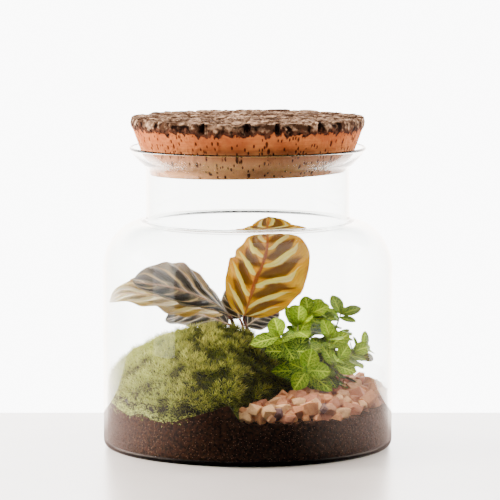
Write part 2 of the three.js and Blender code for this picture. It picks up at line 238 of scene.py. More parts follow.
def smooth_path(knots: Sequence[Sequence[float]], count: int, closed: bool = False) -> np.ndarray:
    """Points of a smooth curve through knots, evenly spaced along it.

    Args:
        knots: the places that it passes through.
        count: how many points to return.
        closed: whether it runs back to its first knot.

    Returns:
        The points, one row each. A closed curve's first point isn't given twice.
    """
    given = np.array(knots, dtype=float)
    if closed:
        padded = np.vstack([given[-1], given, given[:2]])
    else:
        padded = np.vstack([2 * given[0] - given[1], given, 2 * given[-1] - given[-2]])
    path = []
    for a, b, c, d in zip(padded, padded[1:], padded[2:], padded[3:]):
        for t in np.linspace(0, 1, 20, endpoint=False):
            path.append(0.5 * (2 * b + (c - a) * t + (2 * a - 5 * b + 4 * c - d) * t ** 2
                               + (3 * b - a - 3 * c + d) * t ** 3))
    return spaced(np.array(path + [padded[-2]]), count, closed)


def spaced(path: np.ndarray, count: int, closed: bool = False) -> np.ndarray:
    """The same path with evenly spaced points.

    Args:
        path: the points, one row each.
        count: how many points to return.
        closed: whether its last point is its first one, which isn't given twice.

    Returns:
        The new points, one row each.
    """
    walked = np.concatenate([[0], np.cumsum(np.linalg.norm(np.diff(path, axis=0), axis=1))])
    wanted = np.linspace(0, walked[-1], count, endpoint=not closed)
    return np.column_stack([np.interp(wanted, walked, column) for column in path.T])


def turned(name: str, section: Sequence[tuple[float, float]], steps: int) -> bpy.types.Object:
    """Turns a section about the jar's axis.

    Args:
        name: the new piece's name.
        section: radius and height of its points, in millimetres.
        steps: how many times it is set round the axis.

    Returns:
        The turned piece, closed and facing outwards.
    """
    deselect_all()
    radius, height = section[0]
    bpy.ops.mesh.primitive_plane_add(size=MM, location=(radius * MM, 0, height * MM))
    piece = bpy.context.object
    piece.name = name
    bpy.ops.object.transform_apply(location=True, rotation=True, scale=True)
    with editing(piece):
        bpy.ops.mesh.merge(type="CENTER")
        for (r0, z0), (r1, z1) in zip(section, section[1:]):
            step = ((r1 - r0) * MM, 0, (z1 - z0) * MM)
            bpy.ops.mesh.extrude_vertices_move(TRANSFORM_OT_translate={"value": step})
        bpy.ops.mesh.select_all(action="SELECT")
        bpy.ops.mesh.spin(steps=steps, angle=FULL_TURN, center=(0, 0, 0), axis=(0, 0, 1))
        bpy.ops.mesh.select_all(action="SELECT")
        bpy.ops.mesh.remove_doubles(threshold=1e-6)
        bpy.ops.mesh.normals_make_consistent(inside=False)
    return piece


@dataclass
class Pen:
    """Draws a section as radius and height, with curves as runs of short lines."""

    points: list[tuple[float, float]]

    def line(self, end: tuple[float, float], steps: int = 1) -> None:
        """Draws a straight line in equal steps.

        Args:
            end: the radius and the height where it ends.
            steps: how many steps it takes.
        """
        r0, z0 = self.points[-1]
        for i in range(1, steps + 1):
            share = i / steps
            self.points.append((r0 + (end[0] - r0) * share, z0 + (end[1] - z0) * share))

    def bend(self, over: tuple[float, float], end: tuple[float, float], steps: int = 8) -> None:
        """Draws a curve that is pulled towards a point.

        Args:
            over: the point that pulls it.
            end: the radius and the height where it ends.
            steps: how many steps it takes.
        """
        r0, z0 = self.points[-1]
        for i in range(1, steps + 1):
            t = i / steps
            a, b, c = (1 - t) ** 2, 2 * t * (1 - t), t * t
            self.points.append((a * r0 + b * over[0] + c * end[0],
                                a * z0 + b * over[1] + c * end[1]))

    def arc(self, centre: tuple[float, float], reach: tuple[float, float],
            start: float, end: float, steps: int = 24) -> None:
        """Draws part of an ellipse from one angle to another, in radians.

        Args:
            centre: the radius and the height of its middle.
            reach: how far it reaches outwards and upwards from there.
            start: the angle where it starts.
            end: the angle where it ends.
            steps: how many steps it takes.
        """
        for i in range(steps + 1):
            angle = start + (end - start) * i / steps
            self.points.append((centre[0] + reach[0] * math.cos(angle),
                                centre[1] + reach[1] * math.sin(angle)))


@dataclass(frozen=True)
class Shape:
    """A modelled shape that is copied many times."""

    points: np.ndarray
    faces: list[tuple[int, ...]]
    depth: np.ndarray

    @staticmethod
    def taken(piece: bpy.types.Object) -> "Shape":
        """Reads a modelled piece and clears it away.

        Args:
            piece: the mesh object, modelled about the origin.

        Returns:
            Its points in millimetres, its faces, and how far up each point is, from 0 to 1.
        """
        points = points_of(piece)
        faces = [tuple(polygon.vertices) for polygon in piece.data.polygons]
        height = points[:, 2]
        depth = (height - height.min()) / max(float(np.ptp(height)), 1e-9)
        bpy.data.meshes.remove(piece.data)
        return Shape(points, faces, depth)


@dataclass
class Heap:
    """Copies of modelled shapes that make one piece."""

    points: list[np.ndarray] = field(default_factory=list)
    faces: list[tuple[int, ...]] = field(default_factory=list)
    tones: list[np.ndarray] = field(default_factory=list)
    depths: list[np.ndarray] = field(default_factory=list)
    places: list[np.ndarray] = field(default_factory=list)
    count: int = 0

    def add(self, points: np.ndarray, faces: Sequence[tuple[int, ...]], tone: float,
            depth: np.ndarray, flat: np.ndarray | None = None) -> None:
        """Adds one copy.

        Args:
            points: where its points lie, in millimetres.
            faces: its faces, counted from its own first point.
            tone: its shade, from 0 to 1.
            depth: how far out each point is, from 0 to 1.
            flat: each point's place on the flat pattern, where there is one.
        """
        self.points.append(points)
        self.faces.extend(tuple(corner + self.count for corner in face) for face in faces)
        self.tones.append(np.full(len(points), tone))
        self.depths.append(depth)
        if flat is not None:
            self.places.append(flat)
        self.count += len(points)

    def piece(self, name: str) -> bpy.types.Object:
        """Makes one mesh object of all the copies.

        Args:
            name: the new piece's name.

        Returns:
            The piece, with its tone, depth and pattern place on its points.
        """
        mesh = bpy.data.meshes.new(name)
        mesh.from_pydata((np.concatenate(self.points) * MM).tolist(), [], self.faces)
        carry(mesh, TONE, np.concatenate(self.tones))
        carry(mesh, DEPTH, np.concatenate(self.depths))
        if self.places:
            corners = np.empty(len(mesh.loops), dtype=int)
            mesh.loops.foreach_get("vertex_index", corners)
            layer = mesh.uv_layers.new(name=PATTERN)
            layer.data.foreach_set("uv", np.concatenate(self.places)[corners].ravel())
        made = bpy.data.objects.new(name, mesh)
        bpy.context.scene.collection.objects.link(made)
        return made


# Tools for materials


Tree = bpy.types.NodeTree
Node = bpy.types.Node
MIX_FIRST, MIX_SECOND, MIX_RESULT = 6, 7, 2
BLACK: Colour = (0.0, 0.0, 0.0)


@dataclass(frozen=True)
class Value:
    """A number, colour or place that a node puts out. Sums with it are written as on paper."""

    socket: bpy.types.NodeSocket

    @property
    def tree(self) -> Tree:
        """The nodes that it belongs to."""
        return self.socket.id_data

    def math(self, operation: str, *others: "float | Value") -> "Value":
        """Works out one number from this one and others."""
        return number(self.tree, operation, self, *others)

    def vector(self, operation: str, *others: "Point | Value") -> "Value":
        """Works out a place, or its length, from this place and others."""
        made = put(self.tree, "ShaderNodeVectorMath", dict(enumerate((self, *others))), operation=operation)
        return Value(made.outputs["Value" if operation == "LENGTH" else "Vector"])

    def __add__(self, other: "float | Value") -> "Value":
        """Adds another number."""
        return self.math("ADD", other)

    def __sub__(self, other: "float | Value") -> "Value":
        """Takes another number away."""
        return self.math("SUBTRACT", other)

    def __rsub__(self, other: float) -> "Value":
        """Takes this one away from a plain number."""
        return number(self.tree, "SUBTRACT", other, self)

    def __mul__(self, other: "float | Value") -> "Value":
        """Multiplies by another number."""
        return self.math("MULTIPLY", other)

    def __truediv__(self, other: "float | Value") -> "Value":
        """Divides by another number."""
        return self.math("DIVIDE", other)

    def __rtruediv__(self, other: float) -> "Value":
        """Divides a plain number by this one."""
        return number(self.tree, "DIVIDE", other, self)

    __radd__ = __add__
    __rmul__ = __mul__

    def over(self, limit: "float | Value") -> "Value":
        """Gives 1 over a limit, and 0 elsewhere."""
        return self.math("GREATER_THAN", limit)

    def under(self, limit: "float | Value") -> "Value":
        """Gives 1 under a limit, and 0 elsewhere."""
        return self.math("LESS_THAN", limit)

    def scaled(self, factor: float, offset: "float | Value") -> "Value":
        """Multiplies the number and adds another to it."""
        return self.math("MULTIPLY_ADD", factor, offset)

    def ramp(self, low: "float | Value", high: "float | Value") -> "Value":
        """Eases the number from 0 at the low end to 1 at the high end.

        Args:
            low: where it leaves 0.
            high: where it reaches 1.

        Returns:
            The eased number.
        """
        made = put(self.tree, "ShaderNodeMapRange", {"Value": self, "From Min": low, "From Max": high},
                   interpolation_type="SMOOTHSTEP")
        return Value(made.outputs["Result"])

    def rise(self, span: tuple[float, float]) -> "Value":
        """Eases a length from 0 to 1 between two heights in millimetres."""
        return self.ramp(span[0] * MM, span[1] * MM)

    def blend(self, first: "Colour | Value", second: "Colour | Value") -> "Value":
        """Mixes two colours, with this number as the second one's share."""
        inputs = {"Factor": self, MIX_FIRST: first, MIX_SECOND: second}
        return Value(put(self.tree, "ShaderNodeMix", inputs, data_type="RGBA").outputs[MIX_RESULT])

    def axes(self) -> tuple["Value", ...]:
        """Splits a place into its X, Y and Z."""
        return tuple(results(put(self.tree, "ShaderNodeSeparateXYZ", {"Vector": self})).values())

    def stretched(self, scale: Point) -> "Value":
        """Stretches a place's axes."""
        return Value(put(self.tree, "ShaderNodeMapping", {"Vector": self, "Scale": scale}).outputs["Vector"])

    def clouds(self, scale: "float | Value", detail: float = 2.0, output: str = "Fac") -> "Value":
        """Soft noise over the place, as a number or as a colour."""
        return results(put(self.tree, "ShaderNodeTexNoise",
                           {"Vector": self, "Scale": scale, "Detail": detail}))[output]

    def bump(self, distance: float) -> "Value":
        """The normal of a surface with this relief, so many millimetres high."""
        return Value(put(self.tree, "ShaderNodeBump", {"Height": self, "Distance": distance * MM,
                                                       "Strength": 1.0}).outputs["Normal"])


def fill(node: Node, inputs: dict[str | int, object]) -> None:
    """Gives a node its values and its links.

    Args:
        node: the node.
        inputs: a plain value, or what another node puts out, for each input by name or number.
    """
    for key, value in inputs.items():
        socket = node.inputs[key]
        if isinstance(value, Value):
            node.id_data.links.new(value.socket, socket)
        else:
            socket.default_value = (*value, 1) if socket.type == "RGBA" else value


def put(tree: Tree, kind: str, inputs: dict[str | int, object] | None = None, **settings: object) -> Node:
    """Adds a node with its values and its links.

    Args:
        tree: the material's, the world's or the group's nodes.
        kind: the node's type.
        inputs: what fill takes.
        settings: the node's own options.

    Returns:
        The new node.
    """
    made = tree.nodes.new(kind)
    for key, value in settings.items():
        setattr(made, key, value)
    fill(made, inputs or {})
    return made


def number(tree: Tree, operation: str, *values: float | Value) -> Value:
    """Adds a node that works out one number from others."""
    return Value(put(tree, "ShaderNodeMath", dict(enumerate(values)), operation=operation).outputs[0])


def results(node: Node) -> dict[str, Value]:
    """Returns all that a node puts out, by name."""
    return {socket.name: Value(socket) for socket in node.outputs}


def objects_place(tree: Tree) -> Value:
    """Returns the place on the object, in metres."""
    return results(put(tree, "ShaderNodeTexCoord"))["Object"]


def leafs_place(tree: Tree) -> Value:
    """Returns the place on a leaf's flat pattern."""
    return Value(put(tree, "ShaderNodeUVMap", uv_map=PATTERN).outputs["UV"])


def read(tree: Tree, name: str) -> Value:
    """Returns a number that the piece's points carry."""
    return results(put(tree, "ShaderNodeAttribute", attribute_name=name))["Fac"]


def show(tree: Tree, usual: Node, ray: str, other: Node) -> None:
    """Shows one kind of ray another surface than the usual one.

    Args:
        tree: the material's nodes.
        usual: the surface that all the rest sees.
        ray: the kind of ray, as the Light Path node names it.
        other: the surface that this kind sees.
    """
    path = results(put(tree, "ShaderNodeLightPath"))
    mixed = put(tree, "ShaderNodeMixShader",
                {0: path[ray], 1: Value(usual.outputs["BSDF"]), 2: Value(other.outputs["BSDF"])})
    fill(tree.nodes["Material Output"], {"Surface": Value(mixed.outputs[0])})


# Patterns that several materials share


@dataclass(frozen=True)
class Effect:
    """A pattern that is built once as a group of nodes, and placed with its own values."""

    gives: ClassVar[tuple[str, ...]] = ("mask",)

    def pattern(self, given: dict[str, Value]) -> dict[str, Value]:
        """Works out the pattern inside the group.

        Args:
            given: the place on the surface and the effect's own values, by name.

        Returns:
            What the group puts out, by name.
        """
        raise NotImplementedError

    def values(self) -> dict[str, float]:
        """The effect's own values, by name."""
        return {value.name: getattr(self, value.name) for value in fields(self)}

    def group(self) -> Tree:
        """Builds the group of nodes, or finds it where it is built.

        Returns:
            The group's nodes.
        """
        name = type(self).__name__.lower()
        if name in bpy.data.node_groups:
            return bpy.data.node_groups[name]
        tree = bpy.data.node_groups.new(name, "ShaderNodeTree")
        tree.interface.new_socket(name="place", in_out="INPUT", socket_type="NodeSocketVector")
        for label in self.values():
            tree.interface.new_socket(name=label, in_out="INPUT", socket_type="NodeSocketFloat")
        for label in self.gives:
            tree.interface.new_socket(name=label, in_out="OUTPUT", socket_type="NodeSocketFloat")
        end = put(tree, "NodeGroupOutput")
        fill(end, self.pattern(results(put(tree, "NodeGroupInput"))))
        return tree

    def on(self, place: Value) -> dict[str, Value]:
        """Places the group in a material.

        Args:
            place: the place on the surface.

        Returns:
            What the group puts out, by name.
        """
        made = put(place.tree, "ShaderNodeGroup", node_tree=self.group())
        fill(made, {"place": place, **self.values()})
        return results(made)

    def mask(self, place: Value) -> Value:
        """Places the group and returns its mask."""
        return self.on(place)["mask"]


@dataclass(frozen=True)
class Mottle(Effect):
    """Soft patches, so many to the metre and so sharp: a mask that wanders from 0 to 1."""

    scale: float
    contrast: float

    def pattern(self, given: dict[str, Value]) -> dict[str, Value]:
        """Cuts a band out of soft noise."""
        half = 0.25 / given["contrast"]
        return {"mask": given["place"].clouds(given["scale"], 5.0).ramp(0.5 - half, 0.5 + half)}


@dataclass(frozen=True)
class Flecks(Effect):
    """Flecks, so many cells to the metre, so large and in so many of the cells: 1 inside a fleck."""

    scale: float
    size: float
    share: float

    def pattern(self, given: dict[str, Value]) -> dict[str, Value]:
        """Draws a soft dot in a share of the cells.

        Args:
            given: the place on the surface and the effect's own values, by name.

        Returns:
            What the group puts out, by name.
        """
        place = given["place"]
        cells = results(put(place.tree, "ShaderNodeTexVoronoi", {"Vector": place, "Scale": given["scale"]}))
        inside = 1.0 - cells["Distance"].ramp(given["size"] * 0.6, given["size"])
        shade = results(put(place.tree, "ShaderNodeSeparateColor", {"Color": cells["Color"]}))["Red"]
        return {"mask": inside * shade.under(given["share"])}


@dataclass(frozen=True)
class Veins(Effect):
    """A leaf's veins, read from its flat pattern.

    It gives the midrib, the side veins, where a point lies between two side veins, and how far out
    it is from the midrib.
    """

    gives: ClassVar[tuple[str, ...]] = ("midrib", "vein", "cell", "side")

    pairs: float
    sweep: float
    width: float

    def pattern(self, given: dict[str, Value]) -> dict[str, Value]:
        """Counts the side veins along the leaf, swept towards its tip.

        Args:
            given: the place on the surface and the effect's own values, by name.

        Returns:
            What the group puts out, by name.
        """
        across, along, _ = given["place"].axes()
        signed = across.scaled(2.0, -1.0)
        side = signed.math("ABSOLUTE")
        phase = given["pairs"] * (along - given["sweep"] * side.math("POWER", 1.3))
        cell = (phase + signed.over(0.0) * 0.5 + 20.0).math("FRACT")
        near = cell.math("MINIMUM", 1.0 - cell)
        slim = given["width"] * 0.7
        return {"midrib": 1.0 - side.ramp(slim * 0.4, slim),
                "vein": 1.0 - near.ramp(0.0, given["width"] * (1.15 - side)), "cell": cell, "side": side}


# Finishes


@dataclass(frozen=True)
class Finish:
    """What a surface looks like."""

    name: str

    def material(self) -> bpy.types.Material:
        """Makes the material once, and returns it.

        Returns:
            The material.
        """
        if self.name in bpy.data.materials:
            return bpy.data.materials[self.name]
        made = bpy.data.materials.new(self.name)
        made.use_nodes = True
        self.paint(made.node_tree, made.node_tree.nodes["Principled BSDF"])
        return made

    def paint(self, tree: Tree, surface: Node) -> None:
        """Adds the finish's nodes."""
        raise NotImplementedError


@dataclass(frozen=True)
class ClearGlass(Finish):
    """Thin blown glass that lets the light through to the plants."""

    tint: Colour = (1.0, 0.997, 0.99)
    shade: Colour = (0.964, 0.964, 0.952)
    depth_tint: Colour = (0.55, 0.9, 0.68)
    depth_density: float = 12.0
    bending: float = 1.5

    def paint(self, tree: Tree, surface: Node) -> None:
        """Adds the glass, its faint green depth, and a faint shade for light that passes it.

        Args:
            tree: the material's nodes.
            surface: its Principled node.
        """
        fill(surface, {"Base Color": self.tint, "Roughness": 0.0, "IOR": self.bending,
                       "Transmission Weight": 1.0})
        show(tree, surface, "Is Shadow Ray", put(tree, "ShaderNodeBsdfTransparent", {"Color": self.shade}))
        body = put(tree, "ShaderNodeVolumeAbsorption",
                   {"Color": self.depth_tint, "Density": self.depth_density})
        fill(tree.nodes["Material Output"], {"Volume": Value(body.outputs[0])})


@dataclass(frozen=True)
class BarkCork(Finish):
    """Natural cork: a warm pitted side and a grey furrowed bark."""

    light: Colour = (0.66, 0.21, 0.060)
    deep: Colour = (0.42, 0.105, 0.030)
    # Paler orange for the cork below the lip: painted light.
    foot: Colour = (0.90, 0.42, 0.20)
    pit: Colour = (0.04, 0.008, 0.004)
    bark: Colour = (0.060, 0.026, 0.013)
    bark_pale: Colour = (0.62, 0.37, 0.22)
    # Near black: the bark's own dark furrows and crust, with painted shade in the furrows.
    bark_deep: Colour = (0.008, 0.003, 0.002)
    crust: Colour = (0.12, 0.045, 0.024)
    patches: Mottle = Mottle(45.0, 1.3)
    lines: Mottle = Mottle(160.0, 1.6)
    grains: Mottle = Mottle(260.0, 1.2)
    plates: Mottle = Mottle(150.0, 2.2)
    pits: tuple[Flecks, Flecks] = (Flecks(430.0, 0.40, 0.42), Flecks(190.0, 0.30, 0.36))
    foot_span: tuple[float, float] = (248.0, 264.0)
    ragged: float = 15.0
    bark_span: tuple[float, float] = (281.9, 283.5)
    crust_span: tuple[float, float] = (285.7, 288.5)

    def paint(self, tree: Tree, surface: Node) -> None:
        """Adds the cork below the ragged border, a dark crust and the bark above it.

        Args:
            tree: the material's nodes.
            surface: its Principled node.
        """
        place = objects_place(tree)
        height = place.axes()[2]
        tall = place.stretched((1.0, 1.0, 0.3))
        side = self.patches.mask(place).blend(self.light, self.deep)
        side = (self.lines.mask(place.stretched((0.15, 0.15, 4.0))) * 0.4).blend(side, self.deep)
        # Below the lip line the side is painted paler and warmer: painted light, for the haze and light that
        # the glass lip lays over it.
        side = ((1.0 - height.rise(self.foot_span)) * 0.75).blend(side, self.foot)
        pits = self.pits[0].mask(tall).math("MAXIMUM", self.pits[1].mask(tall))
        side = (pits * 0.9).blend(side, self.pit)
        grains = self.grains.mask(place)
        plates = self.plates.mask(place.stretched((0.35, 1.0, 1.0)))
        bark = (plates * grains).blend(self.bark, self.bark_pale)
        # The furrows and clefts turn near black by their depth: partly the bark's own dark furrows, partly
        # painted shade in them.
        bark = read(tree, DEPTH).ramp(0.1, 0.5).blend(bark, self.bark_deep)
        edge = tall.clouds(190.0).scaled(self.ragged * MM, height)
        bark = edge.rise(self.crust_span).blend(grains.blend(self.bark_deep, self.crust), bark)
        fill(surface, {"Base Color": edge.rise(self.bark_span).blend(side, bark), "Roughness": 0.85,
                       "Specular IOR Level": 0.03, "Normal": (grains * 0.5 - pits).bump(0.8)})


@dataclass(frozen=True)
class PottingSoil(Finish):
    """Dark moist soil with reddish specks."""

    deep: Colour = (0.014, 0.005, 0.0022)
    brown: Colour = (0.042, 0.0138, 0.0055)
    speck: Colour = (0.26, 0.13, 0.08)
    grains: Mottle = Mottle(420.0, 1.8)
    specks: Flecks = Flecks(760.0, 0.30, 0.30)

    def paint(self, tree: Tree, surface: Node) -> None:
        """Adds fine grains, with a speck here and there.

        Args:
            tree: the material's nodes.
            surface: its Principled node.
        """
        place = objects_place(tree)
        grains = self.grains.mask(place)
        colour = grains.blend(self.deep, self.brown)
        colour = (self.specks.mask(place) * 0.85).blend(colour, self.speck)
        colour = read(tree, TONE).ramp(0.5, 1.0).blend(colour, self.speck)
        fill(surface, {"Base Color": colour, "Roughness": 0.9, "Specular IOR Level": 0.1,
                       "Normal": grains.bump(0.7)})


@dataclass(frozen=True)
class LiveMoss(Finish):
    """Cushion moss: olive shoots with bright tips over a heart painted near black as shade, and painted
    paler and brighter towards its left side as painted light.
    """

    # Near black: painted shade deep in the cushion.
    heart: Colour = (0.008, 0.008, 0.002)
    olive: Colour = (0.14, 0.145, 0.012)
    tip: Colour = (0.86, 0.80, 0.17)
    straw: Colour = (0.82, 0.62, 0.22)
    # Paler colours for the cushion's left side: painted light, where the lamp at the left lights it.
    fresh: Colour = (0.42, 0.45, 0.07)
    fresh_tip: Colour = (0.92, 0.95, 0.36)
    patches: Mottle = Mottle(38.0, 1.1)
    open_span: tuple[float, float] = (40.0, 85.0)

    def paint(self, tree: Tree, surface: Node) -> None:
        """Adds a colour that brightens from the heart to the tips of the shoots.

        Args:
            tree: the material's nodes.
            surface: its Principled node.
        """
        place = objects_place(tree)
        depth = read(tree, DEPTH)
        # Towards the left the shoots are painted paler and brighter: painted light on the cushion's lit
        # flank.
        lit_left_side = (place.axes()[0] * -1.0).rise(self.open_span)
        bright = (self.patches.mask(place) * 0.45).blend(self.tip, self.straw)
        bright = (lit_left_side * 0.6).blend(bright, self.fresh_tip)
        olive = lit_left_side.blend(self.olive, self.fresh)
        # The heart and the shoots' bases are painted near black: painted shade inside the cushion.
        colour = depth.ramp(0.15, 0.5).blend(self.heart, olive)
        colour = depth.ramp(0.34, 0.84).blend(colour, read(tree, TONE).blend(olive, bright))
        fill(surface, {"Base Color": colour, "Roughness": 0.6, "Specular IOR Level": 0.15})


@dataclass(frozen=True)
class PinkStone(Finish):
    """Broken peach and pink stones, a few of them grey-violet."""

    peach: Colour = (0.50, 0.20, 0.085)
    pink: Colour = (0.33, 0.120, 0.068)
    cream: Colour = (0.62, 0.33, 0.16)
    violet: Colour = (0.13, 0.075, 0.08)
    dust: Colour = (0.17, 0.055, 0.022)
    patches: Mottle = Mottle(230.0, 1.0)
    specks: Flecks = Flecks(700.0, 0.3, 0.08)

    def paint(self, tree: Tree, surface: Node) -> None:
        """Adds each stone's own shade, its veins and its rough faces.

        Args:
            tree: the material's nodes.
            surface: its Principled node.
        """
        place = objects_place(tree)
        tone = read(tree, TONE)
        colour = tone.ramp(0.1, 0.5).blend(self.peach, self.pink)
        colour = tone.ramp(0.6, 0.8).blend(colour, self.cream)
        colour = tone.ramp(0.94, 0.97).blend(colour, self.violet)
        patches = self.patches.mask(place)
        colour = (patches * 0.4).blend(colour, self.dust)
        colour = (self.specks.mask(place) * 0.6).blend(colour, self.dust)
        fill(surface, {"Base Color": colour, "Roughness": 0.75, "Specular IOR Level": 0.25,
                       "Normal": patches.bump(0.6)})


@dataclass(frozen=True)
class StripedLeaf(Finish):
    """A peacock leaf: dark blotches between the side veins, and pale stripes along them."""

    ground: Colour
    margin: Colour
    blotch: Colour
    stripe: Colour
    midrib: Colour
    glow: float = 0.15
    gloss: float = 0.4
    stripe_width: float = 0.2
    stripe_reach: float = 0.85
    blotch_width: float = 0.38
    blotch_reach: float = 0.72
    line_count: float = 44.0
    wobble: float = 0.08
    veins: Veins = Veins(PAIRS, SWEEP, 0.09)

    def hump(self, side: Value, reach: float, spare: float) -> Value:
        """Gives 1 halfway out to a reach, and 0 a little past both its ends."""
        off = (side - reach / 2) / (reach / 2 + spare)
        return 1.0 - off * off

    def paint(self, tree: Tree, surface: Node) -> None:
        """Adds the blotches, the stripes, the fine lines and the midrib.

        Args:
            tree: the material's nodes.
            surface: its Principled node.
        """
        flat = leafs_place(tree)
        moved = flat.clouds(5.0, 3.0, "Color").vector("MULTIPLY", (self.wobble, self.wobble, 0.0))
        place = flat.vector("ADD", moved).vector("SUBTRACT", (self.wobble / 2, self.wobble / 2, 0.0))
        veins = self.veins.on(place)
        side, cell = veins["side"], veins["cell"]
        colour = side.ramp(0.45, 1.0).blend(self.ground, self.margin)
        colour = (side.ramp(0.94, 0.99) * 0.5).blend(colour, self.midrib)
        lines = (cell * self.line_count).math("SINE")
        colour = lines.scaled(0.09, 0.09).blend(colour, self.blotch)
        swell = self.hump(side, self.blotch_reach, 0.03) * self.blotch_width
        in_blotch = (swell - (cell - 0.5).math("ABSOLUTE")).ramp(-0.08, 0.16)
        colour = (in_blotch * 0.96).blend(colour, self.blotch)
        width = self.hump(side, self.stripe_reach, 0.06) * self.stripe_width
        in_stripe = (width - cell.math("MINIMUM", 1.0 - cell)).ramp(-0.01, 0.06)
        colour = (in_stripe * lines.scaled(0.15, 0.8)).blend(colour, self.stripe)
        colour = veins["midrib"].blend(colour, self.midrib)
        fill(surface, {"Base Color": colour, "Roughness": 0.36, "Specular IOR Level": self.gloss,
                       "Subsurface Weight": self.glow, "Subsurface Radius": (1.0, 0.85, 0.2),
                       "Subsurface Scale": 1.5 * MM,
                       "Normal": (veins["vein"] * -0.6 + lines * 0.12).bump(0.8)})


@dataclass(frozen=True)
class NetLeaf(Finish):
    """A small green leaf with a net of pale veins."""

    dark: Colour = (0.010, 0.034, 0.0008)
    bright: Colour = (0.150, 0.255, 0.0004)
    net: Colour = (0.60, 0.72, 0.05)
    mesh: Point = (9.0, 13.0, 1.0)
    wobble: float = 0.12
    veins: Veins = Veins(NET_PAIRS, NET_SWEEP, 0.17)

    def paint(self, tree: Tree, surface: Node) -> None:
        """Adds the green of each leaf and the veins over it.

        Args:
            tree: the material's nodes.
            surface: its Principled node.
        """
        flat = leafs_place(tree)
        tone = read(tree, TONE)
        veins = self.veins.on(flat)
        moved = flat.clouds(4.0, output="Color").vector("MULTIPLY", (self.wobble, self.wobble, 0.0))
        place = flat.vector("ADD", moved).stretched(self.mesh)
        cells = results(put(tree, "ShaderNodeTexVoronoi", {"Vector": place, "Scale": 1.0},
                            feature="DISTANCE_TO_EDGE"))
        fine = 1.0 - cells["Distance"].ramp(0.02, 0.08)
        mask = (fine * 0.7).math("MAXIMUM", veins["vein"].math("MAXIMUM", veins["midrib"]))
        # Each leaf's tone runs from near-black green to bright green: partly the leaf's own green, partly
        # painted light and shade, as one leaf lies in light and the next in shade.
        ground = tone.blend(self.dark, self.bright)
        pale = tone.scaled(0.35, 0.5).blend(ground, self.net)
        fill(surface, {"Base Color": (mask * 0.95).blend(ground, pale), "Roughness": 0.5,
                       "Specular IOR Level": 0.1, "Subsurface Weight": 0.12,
                       "Subsurface Radius": (0.5, 1.0, 0.2), "Subsurface Scale": 1.2 * MM,
                       "Normal": (mask * -1.0).bump(0.35)})


@dataclass(frozen=True)
class Stalk(Finish):
    """A plain stalk with a little unevenness."""

    colour: Colour
    deep: Colour
    patches: Mottle = Mottle(180.0, 1.0)

    def paint(self, tree: Tree, surface: Node) -> None:
        """Adds two shades along the stalk.

        Args:
            tree: the material's nodes.
            surface: its Principled node.
        """
        patches = self.patches.mask(objects_place(tree))
        fill(surface, {"Base Color": patches.blend(self.colour, self.deep), "Roughness": 0.5,
                       "Normal": patches.bump(0.2)})


@dataclass(frozen=True)
class TableTop(Finish):
    """A pale warm grey table, faintly cloudy, that the glass mirrors only dimly in front: painted shade in
    what it mirrors.
    """

    light: Colour = (0.68, 0.585, 0.53)
    cloud: Colour = (0.58, 0.485, 0.43)
    mirrored: Colour = (0.012, 0.009, 0.008)
    mirrored_beside: Colour = (0.23, 0.165, 0.145)
    mirrored_behind: Colour = (0.62, 0.52, 0.47)
    clouds: Mottle = Mottle(6.0, 0.7)
    beside: tuple[float, float] = (22.0, 84.0)
    behind: tuple[float, float] = (108.0, 140.0)
    fade: tuple[float, float] = (650.0, 1150.0)

    def paint(self, tree: Tree, surface: Node) -> None:
        """Adds the faint clouds, and what the glass mirrors by the turn from the front.

        Args:
            tree: the material's nodes.
            surface: its Principled node.
        """
        place = objects_place(tree)
        colour = self.clouds.mask(place).blend(self.light, self.cloud)
        fill(surface, {"Base Color": colour, "Roughness": 0.3})
        across, along, _ = place.axes()
        turn = across.math("ABSOLUTE").math("ARCTAN2", along * -1.0)
        near = 1.0 - place.vector("LENGTH").rise(self.fade)
        # What mirrors see of the table is painted near black in front of the jar and paler beside and behind
        # it: painted shade, where the jar shades the table.
        dark: Colour | Value = self.mirrored
        for (start, end), colour in ((self.beside, self.mirrored_beside),
                                     (self.behind, self.mirrored_behind)):
            dark = (near * turn.ramp(math.radians(start), math.radians(end))).blend(dark, colour)
        dim = put(tree, "ShaderNodeBsdfPrincipled", {"Base Color": dark, "Roughness": 1.0,
                                                     "Specular IOR Level": 0.0})
        show(tree, surface, "Is Glossy Ray", dim)


GLASS = ClearGlass("clear glass")
CORK = BarkCork("cork and bark")
SOIL = PottingSoil("moist soil")
MOSS = LiveMoss("live moss")
STONE = PinkStone("pink stone")
GOLD_LEAF = StripedLeaf(
    "golden leaf", ground=(0.74, 0.44, 0.03), margin=(0.76, 0.48, 0.012), blotch=(0.18, 0.085, 0.014),
    stripe=(1.0, 0.88, 0.54), midrib=(0.42, 0.15, 0.04), glow=0.6, stripe_width=0.22, stripe_reach=0.84,
    blotch_reach=0.8)
DARK_LEAF = StripedLeaf(
    "dark leaf", ground=(0.19, 0.15, 0.095), margin=(0.30, 0.24, 0.17), blotch=(0.016, 0.013, 0.010),
    stripe=(0.74, 0.54, 0.27), midrib=(0.45, 0.26, 0.16), stripe_width=0.13, stripe_reach=1.0,
    blotch_reach=0.9, glow=0.05, gloss=0.25)
PALE_LEAF = StripedLeaf(
    "pale leaf", ground=(0.80, 0.62, 0.27), margin=(0.50, 0.33, 0.05), blotch=(0.30, 0.19, 0.03),
    stripe=(0.90, 0.78, 0.58), midrib=(0.74, 0.46, 0.26), stripe_width=0.3, glow=0.4)
